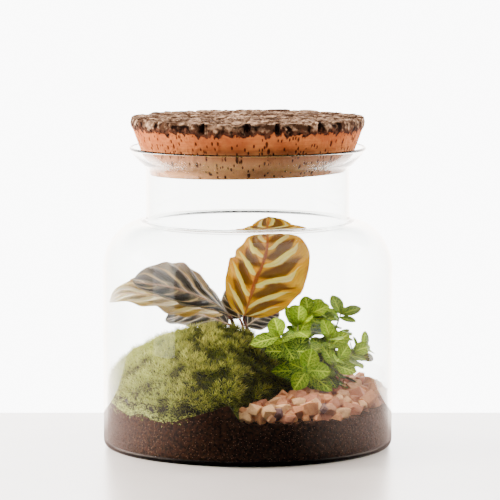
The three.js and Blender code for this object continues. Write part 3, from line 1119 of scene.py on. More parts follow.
# A darker copy of the dark leaf for the small leaves at the back: painted shade.
SHADE_LEAF = StripedLeaf(
    "shaded leaf", ground=(0.09, 0.075, 0.055), margin=(0.16, 0.135, 0.11), blotch=(0.012, 0.010, 0.008),
    stripe=(0.42, 0.34, 0.24), midrib=(0.36, 0.28, 0.22), stripe_width=0.10, blotch_reach=0.9, glow=0.05,
    gloss=0.08)
GREEN_LEAF = NetLeaf("net leaf")
RED_STALK = Stalk("red stalk", colour=(0.16, 0.045, 0.03), deep=(0.06, 0.02, 0.015))
GREEN_STALK = Stalk("green stalk", colour=(0.20, 0.30, 0.06), deep=(0.22, 0.16, 0.05))
AMBER_MIDRIB = Stalk("amber midrib", colour=(0.6, 0.24, 0.06), deep=(0.45, 0.15, 0.04))
BROWN_MIDRIB = Stalk("brown midrib", colour=(0.4, 0.27, 0.16), deep=(0.22, 0.13, 0.08))
TABLE = TableTop("pale table")


def present(piece: bpy.types.Object, finish: Finish, slot: Slot, *nodes: str) -> None:
    """Dresses a finished piece and ties it to the frame.

    Args:
        piece: the piece.
        finish: its surface.
        slot: the record's slot that its finish belongs to; not used.
        nodes: the nodes that it stands for.
    """
    piece.data.materials.clear()
    piece.data.materials.append(finish.material())
    if nodes:
        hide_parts(*nodes)
    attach(piece, BODY)
    log.info("%s: %d faces, %s", piece.name, len(piece.data.polygons), finish.name)


# The jar, its stopper and what fills it


@dataclass
class GlassJar:
    """The blown jar: one wall from the foot over the shoulder and neck to the flared lip."""

    radius: float = 125.0
    foot_corner: float = 7.0
    inner_corner: float = 3.6
    floor: float = 3.6
    wall: float = 2.8
    shoulder_start: float = 153.0
    shoulder_top: float = 196.5
    shoulder_centre: float = 88.0
    neck: float = 87.7
    neck_wall: float = 2.7
    fillet: float = 4.0
    throat: float = 240.5
    lip: tuple[tuple[tuple[float, float], tuple[float, float], int], ...] = (
        ((88.2, 242.6), (90.2, 244.4), 5), ((99.0, 252.5), (102.1, 258.6), 10),
        ((100.8, 261.2), (99.5, 258.6), 8), ((96.6, 253.2), (88.4, 246.4), 10))
    lip_foot: tuple[float, float] = (85.4, 243.6)
    steps: int = 160

    @property
    def inside(self) -> float:
        """The radius inside the body."""
        return self.radius - self.wall

    def section(self) -> list[tuple[float, float]]:
        """Draws the wall's section, from the middle of the foot round to the middle inside.

        Returns:
            The radius and the height of each point, in millimetres.
        """
        reach, rise = self.radius - self.shoulder_centre, self.shoulder_top - self.shoulder_start
        fillet_centre, fillet_height = self.neck + self.fillet, self.shoulder_top + self.fillet
        offset = fillet_centre - self.shoulder_centre
        bore = self.neck - self.neck_wall
        under = self.shoulder_top - self.neck_wall
        centre = (self.shoulder_centre, self.shoulder_start)
        pen = Pen([(0.0, 0.0)])
        pen.line((self.radius - self.foot_corner, 0.0), 3)
        pen.bend((self.radius, 0.0), (self.radius, self.foot_corner), 10)
        pen.line((self.radius, self.shoulder_start - 1), 3)
        pen.arc(centre, (reach, rise), 0.0, math.acos(offset / reach))
        pen.bend((self.neck, self.shoulder_top), (self.neck, fillet_height))
        pen.line((self.neck, self.throat), 2)
        for over, end, steps in self.lip:
            pen.bend(over, end, steps)
        pen.bend(self.lip_foot, (bore, self.throat), 5)
        pen.line((bore, fillet_height), 2)
        pen.bend((bore, under), (fillet_centre, under))
        inner_reach = reach - self.wall
        pen.arc(centre, (inner_reach, rise - self.wall), math.acos(offset / inner_reach), 0.0)
        pen.line((self.inside, self.floor + self.inner_corner), 3)
        pen.bend((self.inside, self.floor), (self.inside - self.inner_corner, self.floor), 8)
        pen.line((0.0, self.floor), 3)
        return pen.points

    def build(self) -> None:
        """Turns the jar and makes it glass."""
        piece = turned("glass_jar_wall", self.section(), self.steps)
        smooth(piece, 60)
        present(piece, GLASS, Slot.GLASS, "glass_jar")


@dataclass
class CorkStopper:
    """The stopper, cut from one piece of cork with its bark left on top."""

    bottom: float = 238.3
    foot_radius: float = 83.2
    slant: float = 2.0
    side: tuple[tuple[float, float, int], ...] = (
        (85.4, 243.6, 3), (87.7, 246.6, 3), (90.0, 251.0, 4), (92.6, 258.0, 5), (98.9, 275.2, 12),
        (100.4, 277.2, 3))
    top: float = 285.3
    highest: float = 285.8
    bark_radius: float = 101.2
    bark_from: float = 276.2
    furrow: float = 4.6
    lumps: float = 1.3
    flakes: float = 0.5
    side_pits: float = 0.25
    cleft: float = 7.0
    cleft_places: tuple[tuple[float, float], ...] = ((-0.5, 3.0), (25.5, 2.0), (-38.0, 1.2), (62.0, 1.6))
    steps: int = 360

    def section(self) -> list[tuple[float, float]]:
        """Draws the side and the top in short steps, for the pits and the furrows.

        Returns:
            The radius and the height of each point, in millimetres.
        """
        pen = Pen([(0.0, self.bottom)])
        pen.line((self.foot_radius, self.bottom), 14)
        pen.line((self.foot_radius + 1, self.bottom + 1.5), 2)
        for radius, height, steps in self.side:
            pen.line((radius, height), steps)
        pen.line((self.bark_radius, 281.0), 4)
        pen.line((self.bark_radius - 1, self.top), 2)
        pen.line((0.0, self.top), 90)
        return pen.points

    def bark(self, points: np.ndarray) -> np.ndarray:
        """How deep the bark is furrowed at each place, from 0 to 1.

        Args:
            points: the places, in millimetres, one row each.

        Returns:
            The depths.
        """
        flat = points * np.array([1.0, 1.0, 0.4])
        warp = grain(flat, (30, 30, 30), 4.0)
        sway = np.column_stack([0 * warp, warp, 0 * warp])
        wide = grain(flat + 7 * sway, (34, 11, 30), 1.0)
        slim = grain(flat + 4 * sway, (13, 5, 14), 9.0)
        return np.clip(np.exp(-(wide / 0.07) ** 2) + 0.55 * np.exp(-(slim / 0.09) ** 2), 0, 1)

    def clefts(self, points: np.ndarray) -> np.ndarray:
        """How deep the clefts in the front edge are at each place, from 0 to 1.

        Args:
            points: the places, in millimetres, one row each.

        Returns:
            The depths.
        """
        dent = np.zeros(len(points))
        for place, width in self.cleft_places:
            dent = np.maximum(dent, np.exp(-((points[:, 0] - place) / width) ** 2))
        return dent * (points[:, 1] < 0)

    def build(self) -> None:
        """Turns the stopper, then works the bark and the rough side."""
        piece = turned("cork_with_bark", self.section(), self.steps)
        points = points_of(piece)
        low = points[:, 2] < self.bottom + 2
        points[low, 2] += self.slant * points[low, 0] / self.bark_radius
        outward = outwards(points)
        on_bark = share_of(points[:, 2], self.bark_from, self.bark_from + 3)
        on_top = share_of(points[:, 2], self.top - 1.2, self.top - 0.2)
        rim = on_bark * share_of(from_axis(points), 90, 100)
        depth = self.bark(points)
        flake = grain(points, (3.6, 2.0, 3.2), 2.0)
        lump = grain(points, (20, 7, 9), 6.0)
        points[:, 2] += on_top * (self.lumps * lump + self.flakes * flake - self.furrow * depth)
        points[:, 2] = np.minimum(points[:, 2], self.highest + 0.1 * flake)
        dent = self.clefts(points)
        points -= outward * (rim * (0.9 * np.abs(lump) + 0.7 * depth + self.cleft * dent))[:, None]
        rough = (1 - on_bark) * (points[:, 2] > self.bottom + 2)
        points -= outward * (rough * self.side_pits * np.abs(flake))[:, None]
        move_points(piece, points)
        carry(piece.data, DEPTH, np.clip(depth * (0.75 + 0.5 * flake) + rim * dent, 0, 1))
        smooth(piece, 50)
        present(piece, CORK, Slot.CORK, "cork_stopper")


@dataclass
class SoilBed:
    """Soil that fills the foot and rises to a mound behind the moss."""

    jar: GlassJar
    front: float = 36.0
    slope: float = 0.045
    relief: float = 0.8
    lump: float = 18.0
    mound: tuple[float, float, float] = (-8.0, 18.0, 46.0)
    spread: tuple[float, float, float] = (55.0, 30.0, 42.0)
    heap: float = 15.0
    brim: float = 125.0
    steps: int = 300
    crumbs: int = 1500

    def height(self, x: np.ndarray, y: np.ndarray) -> np.ndarray:
        """The soil's height at each place, in millimetres.

        Args:
            x: how far right each place is.
            y: how far back each place is.

        Returns:
            The heights.
        """
        mound_x, mound_y, rise = self.mound
        left, right, deep = self.spread
        wide = np.where(np.asarray(x) < mound_x, left, right)
        off = ((x - mound_x) / wide) ** 2 + ((y - mound_y) / deep) ** 2
        base = self.front + self.slope * (y + self.jar.radius)
        return base + rise * np.exp(-off / 2) + self.relief * uneven(x / self.lump, y / self.lump)

    def rim(self, points: np.ndarray) -> np.ndarray:
        """How high the soil may stand at each place: lower where stones are pressed in at the glass.

        Args:
            points: the places, in millimetres, one row each.

        Returns:
            The highest that the soil may stand at each of them.
        """
        near = share_of(from_axis(points), 108, 116)
        stony = share_of(points[:, 0], -14, -6) * (points[:, 1] < 40)
        flat = points * np.array([1.0, 1.0, 0.0])
        notch = np.clip(2.2 + 4.5 * grain(flat, (9, 9, 9), 5.0), 0, 6) * stony
        notch += np.clip(2.2 + 4.5 * grain(flat, (15, 15, 15), 8.0), 0, 5) * (1 - stony)
        return self.height(points[:, 0], points[:, 1]) + 2.0 - near * (notch + 1.0) + 1.3 * self.bank(points)

    def bank(self, points: np.ndarray) -> np.ndarray:
        """How much higher the soil is heaped against the glass between the moss and the gravel.

        Args:
            points: the places, in millimetres, one row each.

        Returns:
            The heights to add.
        """
        rise = share_of(points[:, 0], -58, -18) * share_of(-points[:, 0], 5, 15)
        near = share_of(from_axis(points), 115, 119)
        return self.heap * rise * near * (points[:, 1] < 0)

    def section(self) -> list[tuple[float, float]]:
        """Draws the bed under the glass, its wall and its open top.

        Returns:
            The radius and the height of each point, in millimetres.
        """
        wall, base, corner = self.jar.inside - GAP, self.jar.floor + GAP, self.jar.inner_corner
        pen = Pen([(0.0, base)])
        pen.line((wall - corner, base), 6)
        pen.bend((wall, base), (wall, self.jar.floor + corner), 6)
        pen.line((wall, 40.0), 26)
        pen.line((wall, self.brim), 1)
        pen.line((0.0, self.brim), 60)
        return pen.points

    def build(self) -> None:
        """Turns the bed, roughens it and presses crumbs against the glass."""
        piece = turned("soil_grains", self.section(), self.steps)
        points = points_of(piece)
        top = points[:, 2] > self.brim - 1
        points[top, 2] = self.height(points[top, 0], points[top, 1])
        fine = grain(points, (1.6, 1.6, 1.6))
        coarse = grain(points, (5, 5, 5), 3.0)
        points[top, 2] += 0.7 * fine[top] + 0.9 * coarse[top] + self.bank(points)[top]
        wall = (~top) & (points[:, 2] > self.jar.floor + self.jar.inner_corner)
        points -= outwards(points) * (wall * np.abs(0.8 * fine + 0.5 * coarse))[:, None]
        points[:, 2] = np.minimum(points[:, 2], self.rim(points))
        move_points(piece, points)
        carry(piece.data, TONE, np.zeros(len(points)))
        smooth(piece, 70)
        present(piece, SOIL, Slot.SOIL, "soil_bed")
        self.build_crumbs()

    def build_crumbs(self) -> None:
        """Scatters crumbs of soil along the glass and over the open top."""
        deselect_all()
        bpy.ops.mesh.primitive_ico_sphere_add(subdivisions=1, radius=0.5 * MM)
        template = bpy.context.object
        with editing(template):
            bpy.ops.transform.vertex_random(offset=0.1 * MM, seed=3)
        shape = Shape.taken(template)
        draw = np.random.default_rng(12)
        heap = Heap()
        wall = self.jar.inside - 3 * GAP
        for number in range(self.crumbs):
            angle = draw.uniform(0, FULL_TURN)
            size = draw.uniform(1.0, 2.6) if draw.random() < 0.9 else draw.uniform(2.6, 4.2)
            if number % 3:
                radius = wall - size / 2 - 0.2
                x, y = radius * math.cos(angle), radius * math.sin(angle)
                z = draw.uniform(self.jar.floor + self.jar.inner_corner, float(self.height(x, y)) - 0.5)
            else:
                radius = (wall - size) * math.sqrt(draw.random())
                x, y = radius * math.cos(angle), radius * math.sin(angle)
                z = float(self.height(x, y)) + 0.4
            turn = upright(unit(draw.normal(size=3)), draw.uniform(0, 6))
            scaled = shape.points * size * draw.uniform(0.7, 1.0, size=3)
            tone = 1.0 if draw.random() < 0.16 else draw.uniform(0, 0.6)
            heap.add(scaled @ turn.T + (x, y, z), shape.faces, tone, shape.depth)
        piece = heap.piece("soil_crumbs")
        present(piece, SOIL, Slot.SOIL)


@dataclass
class MossCushion:
    """A domed cushion of moss that lies on the soil, left and in front."""

    soil: SoilBed
    top: float = 106.0
    lip: float = 2.5
    fullness: float = 1.4
    relief: float = 1.6
    clump: float = 4.5
    centre: tuple[float, float] = (-28.0, -2.0)
    edge: tuple[tuple[float, float], ...] = (
        (-20, -119), (-60, -105), (-95, -76), (-115, -38), (-120, 5), (-108, 45), (-85, 62),
        (-62, 64), (-42, 52), (-27, 32), (-17, 14), (0, 7), (20, 7), (36, 4), (43, -6),
        (40, -25), (28, -48), (10, -72), (-5, -96), (-13, -112))
    steps: int = 200
    rings: int = 50
    spacing: float = 2.4
    shoot_height: float = 7.6
    shoot_leaves: int = 12
    shoot_kinds: int = 5
    sunk: float = 5.2
    hump: float = 4.0
    heart_shade: float = 0.15

    def ring(self, count: int) -> np.ndarray:
        """The cushion's edge as evenly spaced points, none nearer the glass than the gap allows.

        Args:
            count: how many points to return.

        Returns:
            The points, one row each.
        """
        points = smooth_path(self.edge, count, closed=True)
        limit = self.soil.jar.inside - 3 * GAP
        return points * np.minimum(1, limit / from_axis(points))[:, None]

    def dome(self, share: np.ndarray, border: np.ndarray) -> np.ndarray:
        """The cushion's surface.

        Args:
            share: how far each point is from the middle to the edge, from 0 to 1.
            border: the point of the edge that it lies towards.

        Returns:
            The points, in millimetres.
        """
        centre = np.array(self.centre)
        flat = centre + share[:, None] * (border - centre)
        x, y = flat[:, 0], flat[:, 1]
        low = self.soil.height(border[:, 0], border[:, 1]) + self.lip
        rise = np.sqrt(np.clip(1 - share ** self.fullness, 0, 1))
        clump = self.relief * uneven(x / self.clump, y / self.clump) * (1 - share ** 6)
        return np.column_stack([x, y, low + (self.top - low) * rise + clump])

    def build(self) -> None:
        """Shapes the cushion's heart and plants the shoots on it."""
        disc = 100.0
        pen = Pen([(0.0, 0.0)])
        pen.line((disc, 0.0), self.rings)
        piece = turned("moss_heart", pen.points, self.steps)
        points = points_of(piece)
        share = (from_axis(points) / disc) ** 0.8
        angle = np.mod(np.arctan2(points[:, 1], points[:, 0]) / FULL_TURN, 1) * self.steps
        border = self.ring(self.steps)[np.round(angle).astype(int) % self.steps]
        surface = self.dome(np.clip(share, 0, 1), border)
        surface[:, 2] += 1.2 * grain(surface, (7, 7, 7), 2.0) - self.sunk
        surface[:, 2] += self.hump * share_of(surface[:, 0], -38, -13) * np.clip(1.4 - 1.6 * share, 0, 1)
        move_points(piece, surface)
        with editing(piece):
            bpy.ops.mesh.select_all(action="DESELECT")
            bpy.ops.mesh.select_non_manifold()
            bpy.ops.mesh.extrude_region_move(TRANSFORM_OT_translate={"value": (0, 0, -6 * MM)})
            bpy.ops.mesh.edge_face_add()
            bpy.ops.mesh.select_all(action="SELECT")
            bpy.ops.mesh.normals_make_consistent(inside=False)
        # The heart carries a low tone and depth, so that it takes the moss's near-black painted shade.
        for label in (TONE, DEPTH):
            carry(piece.data, label, np.full(len(piece.data.vertices), self.heart_shade))
        smooth(piece, 60)
        present(piece, MOSS, Slot.MOSS, "moss_cushion")
        self.plant(piece)

    def shoot(self, seed: int) -> Shape:
        """Models one shoot: slim leaves that spread like a star from a short stem.

        Args:
            seed: makes one shoot differ from the next.

        Returns:
            The shoot as a shape, 1 mm tall, that the cushion repeats.
        """
        draw = np.random.default_rng(seed)
        deselect_all()
        bpy.ops.mesh.primitive_cone_add(vertices=3, radius1=0.5 * MM, radius2=0, depth=MM,
                                        location=(0, 0, 0.5 * MM))
        leaf = bpy.context.object
        bpy.ops.object.transform_apply(location=True, rotation=True, scale=True)
        single = Shape.taken(leaf)
        heap = Heap()
        for number in range(self.shoot_leaves):
            rise = number / (self.shoot_leaves - 1)
            lean = math.radians(76 - 64 * rise + draw.uniform(-9, 9))
            around = number * 2.4 + draw.uniform(-0.4, 0.4)
            axis = np.array([math.sin(lean) * math.cos(around), math.sin(lean) * math.sin(around),
                             math.cos(lean)])
            size = np.array([0.10, 0.08, draw.uniform(0.58, 0.92)])
            points = (single.points * size) @ upright(axis, around).T + (0, 0, 0.04 + 0.3 * rise)
            heap.add(points, single.faces, 0.0, 0.2 * rise + 0.8 * single.depth)
        return Shape(np.concatenate(heap.points), heap.faces, np.concatenate(heap.depths))

    def triangles(self, heart: bpy.types.Object) -> np.ndarray:
        """The heart's triangles, sorted, because their order isn't the same in every run.

        Args:
            heart: the cushion's solid heart.

        Returns:
            Three points' numbers to a row.
        """
        heart.data.calc_loop_triangles()
        corners = np.array([triangle.vertices[:] for triangle in heart.data.loop_triangles])
        turn = (corners.argmin(axis=1)[:, None] + np.arange(3)) % 3
        corners = np.take_along_axis(corners, turn, axis=1)
        return corners[np.lexsort(corners.T)]

    def plant(self, heart: bpy.types.Object) -> None:
        """Plants shoots all over the heart, evenly but not in rows.

        Args:
            heart: the cushion's solid heart.
        """
        points = points_of(heart)
        a, b, c = (points[corner] for corner in self.triangles(heart).T)
        across = np.cross(b - a, c - a)
        area = np.linalg.norm(across, axis=1) / 2
        normal = across / np.maximum(2 * area[:, None], 1e-9)
        area = area * (normal[:, 2] > -0.1)
        draw = np.random.default_rng(21)
        tries = int(area.sum() / self.spacing ** 2 * 6)
        chosen = draw.choice(len(area), size=tries, p=area / area.sum())
        u, v = draw.random(tries), draw.random(tries)
        flip = u + v > 1
        u, v = np.where(flip, 1 - u, u), np.where(flip, 1 - v, v)
        spots = a[chosen] + u[:, None] * (b - a)[chosen] + v[:, None] * (c - a)[chosen]
        shapes = [self.shoot(seed) for seed in range(self.shoot_kinds)]
        heaps = {"moss_shoots_left": Heap(), "moss_shoots_right": Heap()}
        taken: dict[tuple[int, int, int], list[np.ndarray]] = {}
        gaps = grain(spots, (13, 13, 13), 7.0)
        limit = self.soil.jar.inside - 2 * GAP
        lowest = self.soil.height(spots[:, 0], spots[:, 1]) + self.soil.bank(spots) - 2.0
        for index, spot in enumerate(spots):
            if spot[2] < lowest[index]:
                continue
            cell = tuple(np.floor(spot / self.spacing).astype(int))
            nearby = [other for i in (-1, 0, 1) for j in (-1, 0, 1) for k in (-1, 0, 1)
                      for other in taken.get((cell[0] + i, cell[1] + j, cell[2] + k), ())]
            if any(np.dot(other - spot, other - spot) < self.spacing ** 2 for other in nearby):
                continue
            taken.setdefault(cell, []).append(spot)
            facing = normal[chosen[index]]
            upward = np.array([0, 0, 0.5 if facing[2] > 0.2 else -0.5])
            axis = unit(facing + upward + draw.normal(size=3) * 0.26)
            # Towards the right, and in the noise's hollows, the shoots grow smaller and are painted darker:
            # painted shade from the bush on the right and in the cushion's dips.
            shady = np.clip((spot[0] + 55) / 70, 0, 1)
            hollow = np.clip((gaps[index] + 0.30 - 0.34 * shady) * 5, 0, 1)
            size = self.shoot_height * draw.uniform(0.8, 1.2) * (0.7 + 0.3 * hollow)
            shape = shapes[draw.integers(len(shapes))]
            placed = shape.points * size @ upright(axis, draw.uniform(0, 6.28)).T + spot
            radius = from_axis(placed)
            if radius.max() > limit:
                placed[:, :2] *= np.minimum(1, limit / radius)[:, None]
            tone = float(np.clip(draw.normal(0.62, 0.28), 0, 1))
            tone *= (0.2 + 0.8 * hollow) * (1 - 0.3 * shady)
            side = "moss_shoots_left" if spot[0] < self.centre[0] - 12 else "moss_shoots_right"
            heaps[side].add(placed, shape.faces, tone, shape.depth * (0.6 + 0.4 * hollow))
        for name, heap in heaps.items():
            present(heap.piece(name), MOSS, Slot.MOSS)


@dataclass
class GravelPatch:
    """Broken stones that lie on the soil at the right and along the front."""

    soil: SoilBed
    moss: MossCushion
    stems: "NetBush"
    pitch: float = 10.6
    size: float = 11.2
    kinds: int = 12
    cuts: int = 9
    lifts: tuple[float, float] = (2.0, 7.4)
    edge: tuple[tuple[float, float], ...] = (
        (-10, -140), (-4, -101), (12, -74), (30, -50), (43, -27), (46, -3), (44, 12), (50, 34), (62, 50),
        (98, 92), (160, 60), (160, -140))

    def stone(self, seed: int) -> Shape:
        """Models one broken stone: a block cut by planes, its edges worn.

        Args:
            seed: makes one stone differ from the next.

        Returns:
            The stone as a shape about 1 mm across, that the patch repeats.
        """
        draw = np.random.default_rng(seed)
        deselect_all()
        bpy.ops.mesh.primitive_cube_add(size=1.0)
        piece = bpy.context.object
        piece.scale = (1.0, draw.uniform(0.75, 0.95), draw.uniform(0.6, 0.85))
        bpy.ops.object.transform_apply(location=True, rotation=True, scale=True)
        with editing(piece):
            for _ in range(self.cuts):
                away = unit(draw.normal(size=3))
                bpy.ops.mesh.select_all(action="SELECT")
                bpy.ops.mesh.bisect(plane_co=away * draw.uniform(0.34, 0.46), plane_no=away,
                                    use_fill=True, clear_outer=True)
            bpy.ops.mesh.select_all(action="SELECT")
            bpy.ops.mesh.remove_doubles(threshold=0.03)
            bpy.ops.mesh.normals_make_consistent(inside=False)
            bpy.ops.mesh.bevel(offset=0.03, segments=1, affect="EDGES")
            bpy.ops.mesh.quads_convert_to_tris()
        shape = Shape.taken(piece)
        return Shape(shape.points * MM, shape.faces, shape.depth)

    def inside(self, x: float, y: float) -> bool:
        """Whether a place lies within the patch's outline.

        Args:
            x: how far right the place is.
            y: how far back the place is.

        Returns:
            True inside the outline.
        """
        found = False
        for (ax, ay), (bx, by) in zip(self.edge, self.edge[1:] + self.edge[:1]):
            if (ay > y) != (by > y) and x < ax + (y - ay) / (by - ay) * (bx - ax):
                found = not found
        return found

    def build(self) -> None:
        """Lays the stones in two uneven layers."""
        draw = np.random.default_rng(5)
        shapes = [self.stone(40 + i) for i in range(self.kinds)]
        moss = self.moss.ring(160)
        roots = np.array([stem.root for stem in self.stems.stems])
        limit = self.soil.jar.inside - 2 * GAP
        heap = Heap()
        rows = int(self.soil.jar.radius / self.pitch) + 1
        for layer, lift in enumerate(self.lifts):
            for row in range(-rows, rows + 1):
                for column in range(-rows, rows + 1):
                    x = (column + 0.5 * (row % 2) + 0.5 * layer) * self.pitch + draw.uniform(-2, 2)
                    y = (row + 0.4 * layer) * self.pitch * 0.87 + draw.uniform(-2, 2)
                    size = self.size * draw.uniform(0.62, 1.32)
                    turn = upright(unit(draw.normal(size=3)), draw.uniform(0, 6))
                    shape = shapes[draw.integers(len(shapes))]
                    tone = draw.random()
                    at_glass = math.hypot(x, y) > limit - 11
                    height = lift + (draw.uniform(-5.0, 1.5) if at_glass else draw.uniform(-0.8, 1.6))
                    if not self.inside(x, y) or math.hypot(x, y) > limit - size * 0.35:
                        continue
                    if from_axis(moss - (x, y)).min() < size * 0.5 or from_axis(roots - (x, y)).min() < 4:
                        continue
                    placed = shape.points * size @ turn.T + (x, y, float(self.soil.height(x, y)) + height)
                    excess = max(0.0, float(from_axis(placed).max()) - limit) / math.hypot(x, y)
                    placed -= np.array([x, y, 0]) * excess
                    heap.add(placed, shape.faces, tone, shape.depth)
        piece = heap.piece("gravel_stones")
        smooth(piece, 20)
        present(piece, STONE, Slot.GRAVEL, "gravel_patch")


# The plants


@dataclass(frozen=True)
class Blade:
    """The form of a leaf blade."""

    width: float
    widest: float = 0.5
    fullness: float = 0.62
    skew: float = 0.0
    fold: float = 0.1
    waves: float = 0.0
    ruffle: float = 0.0
    thickness: float = 0.45
    pucker: float = 0.0
    pairs: float = PAIRS
    sweep: float = SWEEP

    def outline(self, along: np.ndarray, fullness: float) -> np.ndarray:
        """Half the width, as a share, at places from base 0 to tip 1."""
        power = math.log(0.5) / math.log(self.widest)
        return np.clip(np.sin(math.pi * np.clip(along, 0, 1) ** power), 0, 1) ** fullness

    def lay(self, rib: np.ndarray, facing: np.ndarray, side: np.ndarray, least: float = 0.25) -> np.ndarray:
        """Lays the blade along its rib.

        Args:
            rib: the rib's points, evenly spaced from base to tip.
            facing: the side that the blade's upper face looks to.
            side: places across the blade, from -1 to 1.
            least: the smallest half width.

        Returns:
            The points of the blade's middle sheet, row after row along the rib.
        """
        along = np.linspace(0, 1, len(rib))[:, None]
        tangent = unit(np.gradient(rib, axis=0))
        across = unit(np.cross(tangent, facing))
        normal = np.cross(across, tangent)
        half = np.maximum(least, self.width / 2 * self.outline(along, self.fullness))
        side = side[None, :]
        out = half * side * (1 + self.skew * side)
        swell = self.outline(along, 1)
        wave = self.ruffle * np.sin(FULL_TURN * self.waves * along + 2 * side) * swell
        phase = self.pairs * (along - self.sweep * np.abs(side) ** 1.3) + 0.5 * (side > 0)
        ripple = -self.pucker * np.cos(FULL_TURN * phase) * swell * np.clip(np.abs(side) * 4, 0, 1)
        lift = self.fold * np.abs(out) + wave * side ** 2 + ripple
        sheet = rib[:, None, :] + across[:, None, :] * out[..., None] + normal[:, None, :] * lift[..., None]
        return sheet.reshape(-1, 3)


@dataclass(frozen=True)
class Sheet:
    """A flat grid that every blade is bent from."""

    side: np.ndarray
    rows: int
    faces: list[tuple[int, ...]]
    flat: np.ndarray

    @staticmethod
    def cut(columns: int, rows: int) -> "Sheet":
        """Cuts a sheet from a plain grid.

        Args:
            columns: how many strips lie across it.
            rows: how many strips lie along it.

        Returns:
            The sheet, its points in order along and then across.
        """
        deselect_all()
        bpy.ops.mesh.primitive_grid_add(x_subdivisions=columns, y_subdivisions=rows, size=2)
        piece = bpy.context.object
        points = points_of(piece) * MM
        faces = [tuple(polygon.vertices) for polygon in piece.data.polygons]
        bpy.data.meshes.remove(piece.data)
        order = np.lexsort((points[:, 0], np.round(points[:, 1], 6)))
        place = np.empty(len(points), dtype=int)
        place[order] = np.arange(len(points))
        faces = [tuple(int(place[corner]) for corner in face) for face in faces]
        points = points[order]
        return Sheet(points[:columns + 1, 0], rows + 1, faces, (points[:, :2] + 1) / 2)


def thickened(heap: Heap, name: str, thickness: float) -> bpy.types.Object:
    """Gives laid sheets their thickness, half to each side.

    Args:
        heap: the sheets.
        name: the new piece's name.
        thickness: in millimetres.

    Returns:
        The finished piece.
    """
    piece = heap.piece(name)
    apply_modifier(piece, "SOLIDIFY", thickness=thickness * MM, offset=0.0, use_even_offset=False)
    smooth(piece, 60)
    return piece


def stalks(name: str, paths: Sequence[np.ndarray], start: float, end: float) -> bpy.types.Object:
    """Makes tapered round stalks along paths.

    Args:
        name: the new piece's name.
        paths: each stalk's points, in millimetres.
        start: the radius at the root.
        end: the radius at the far end.

    Returns:
        The stalks as one mesh piece.
    """
    curve = bpy.data.curves.new(name, "CURVE")
    curve.dimensions = "3D"
    curve.bevel_depth = MM
    curve.bevel_resolution = 2
    curve.use_fill_caps = True
    for path in paths:
        spline = curve.splines.new("POLY")
        spline.points.add(len(path) - 1)
        for index, (point, place) in enumerate(zip(spline.points, path)):
            point.co = (*(place * MM), 1)
            point.radius = start + (end - start) * index / (len(path) - 1)
    piece = bpy.data.objects.new(name, curve)
    bpy.context.scene.collection.objects.link(piece)
    select_only(piece)
    bpy.ops.object.convert(target="MESH")
    piece = bpy.context.object
    smooth(piece, 60)
    return piece


@dataclass(frozen=True)
class PeacockLeaf:
    """One leaf of the peacock plant: its root, its midrib and its blade."""

    root: tuple[float, float]
    knee: float
    midrib: tuple[Point, ...]
    facing: Point
    blade: Blade
    finish: StripedLeaf
    slot: Slot


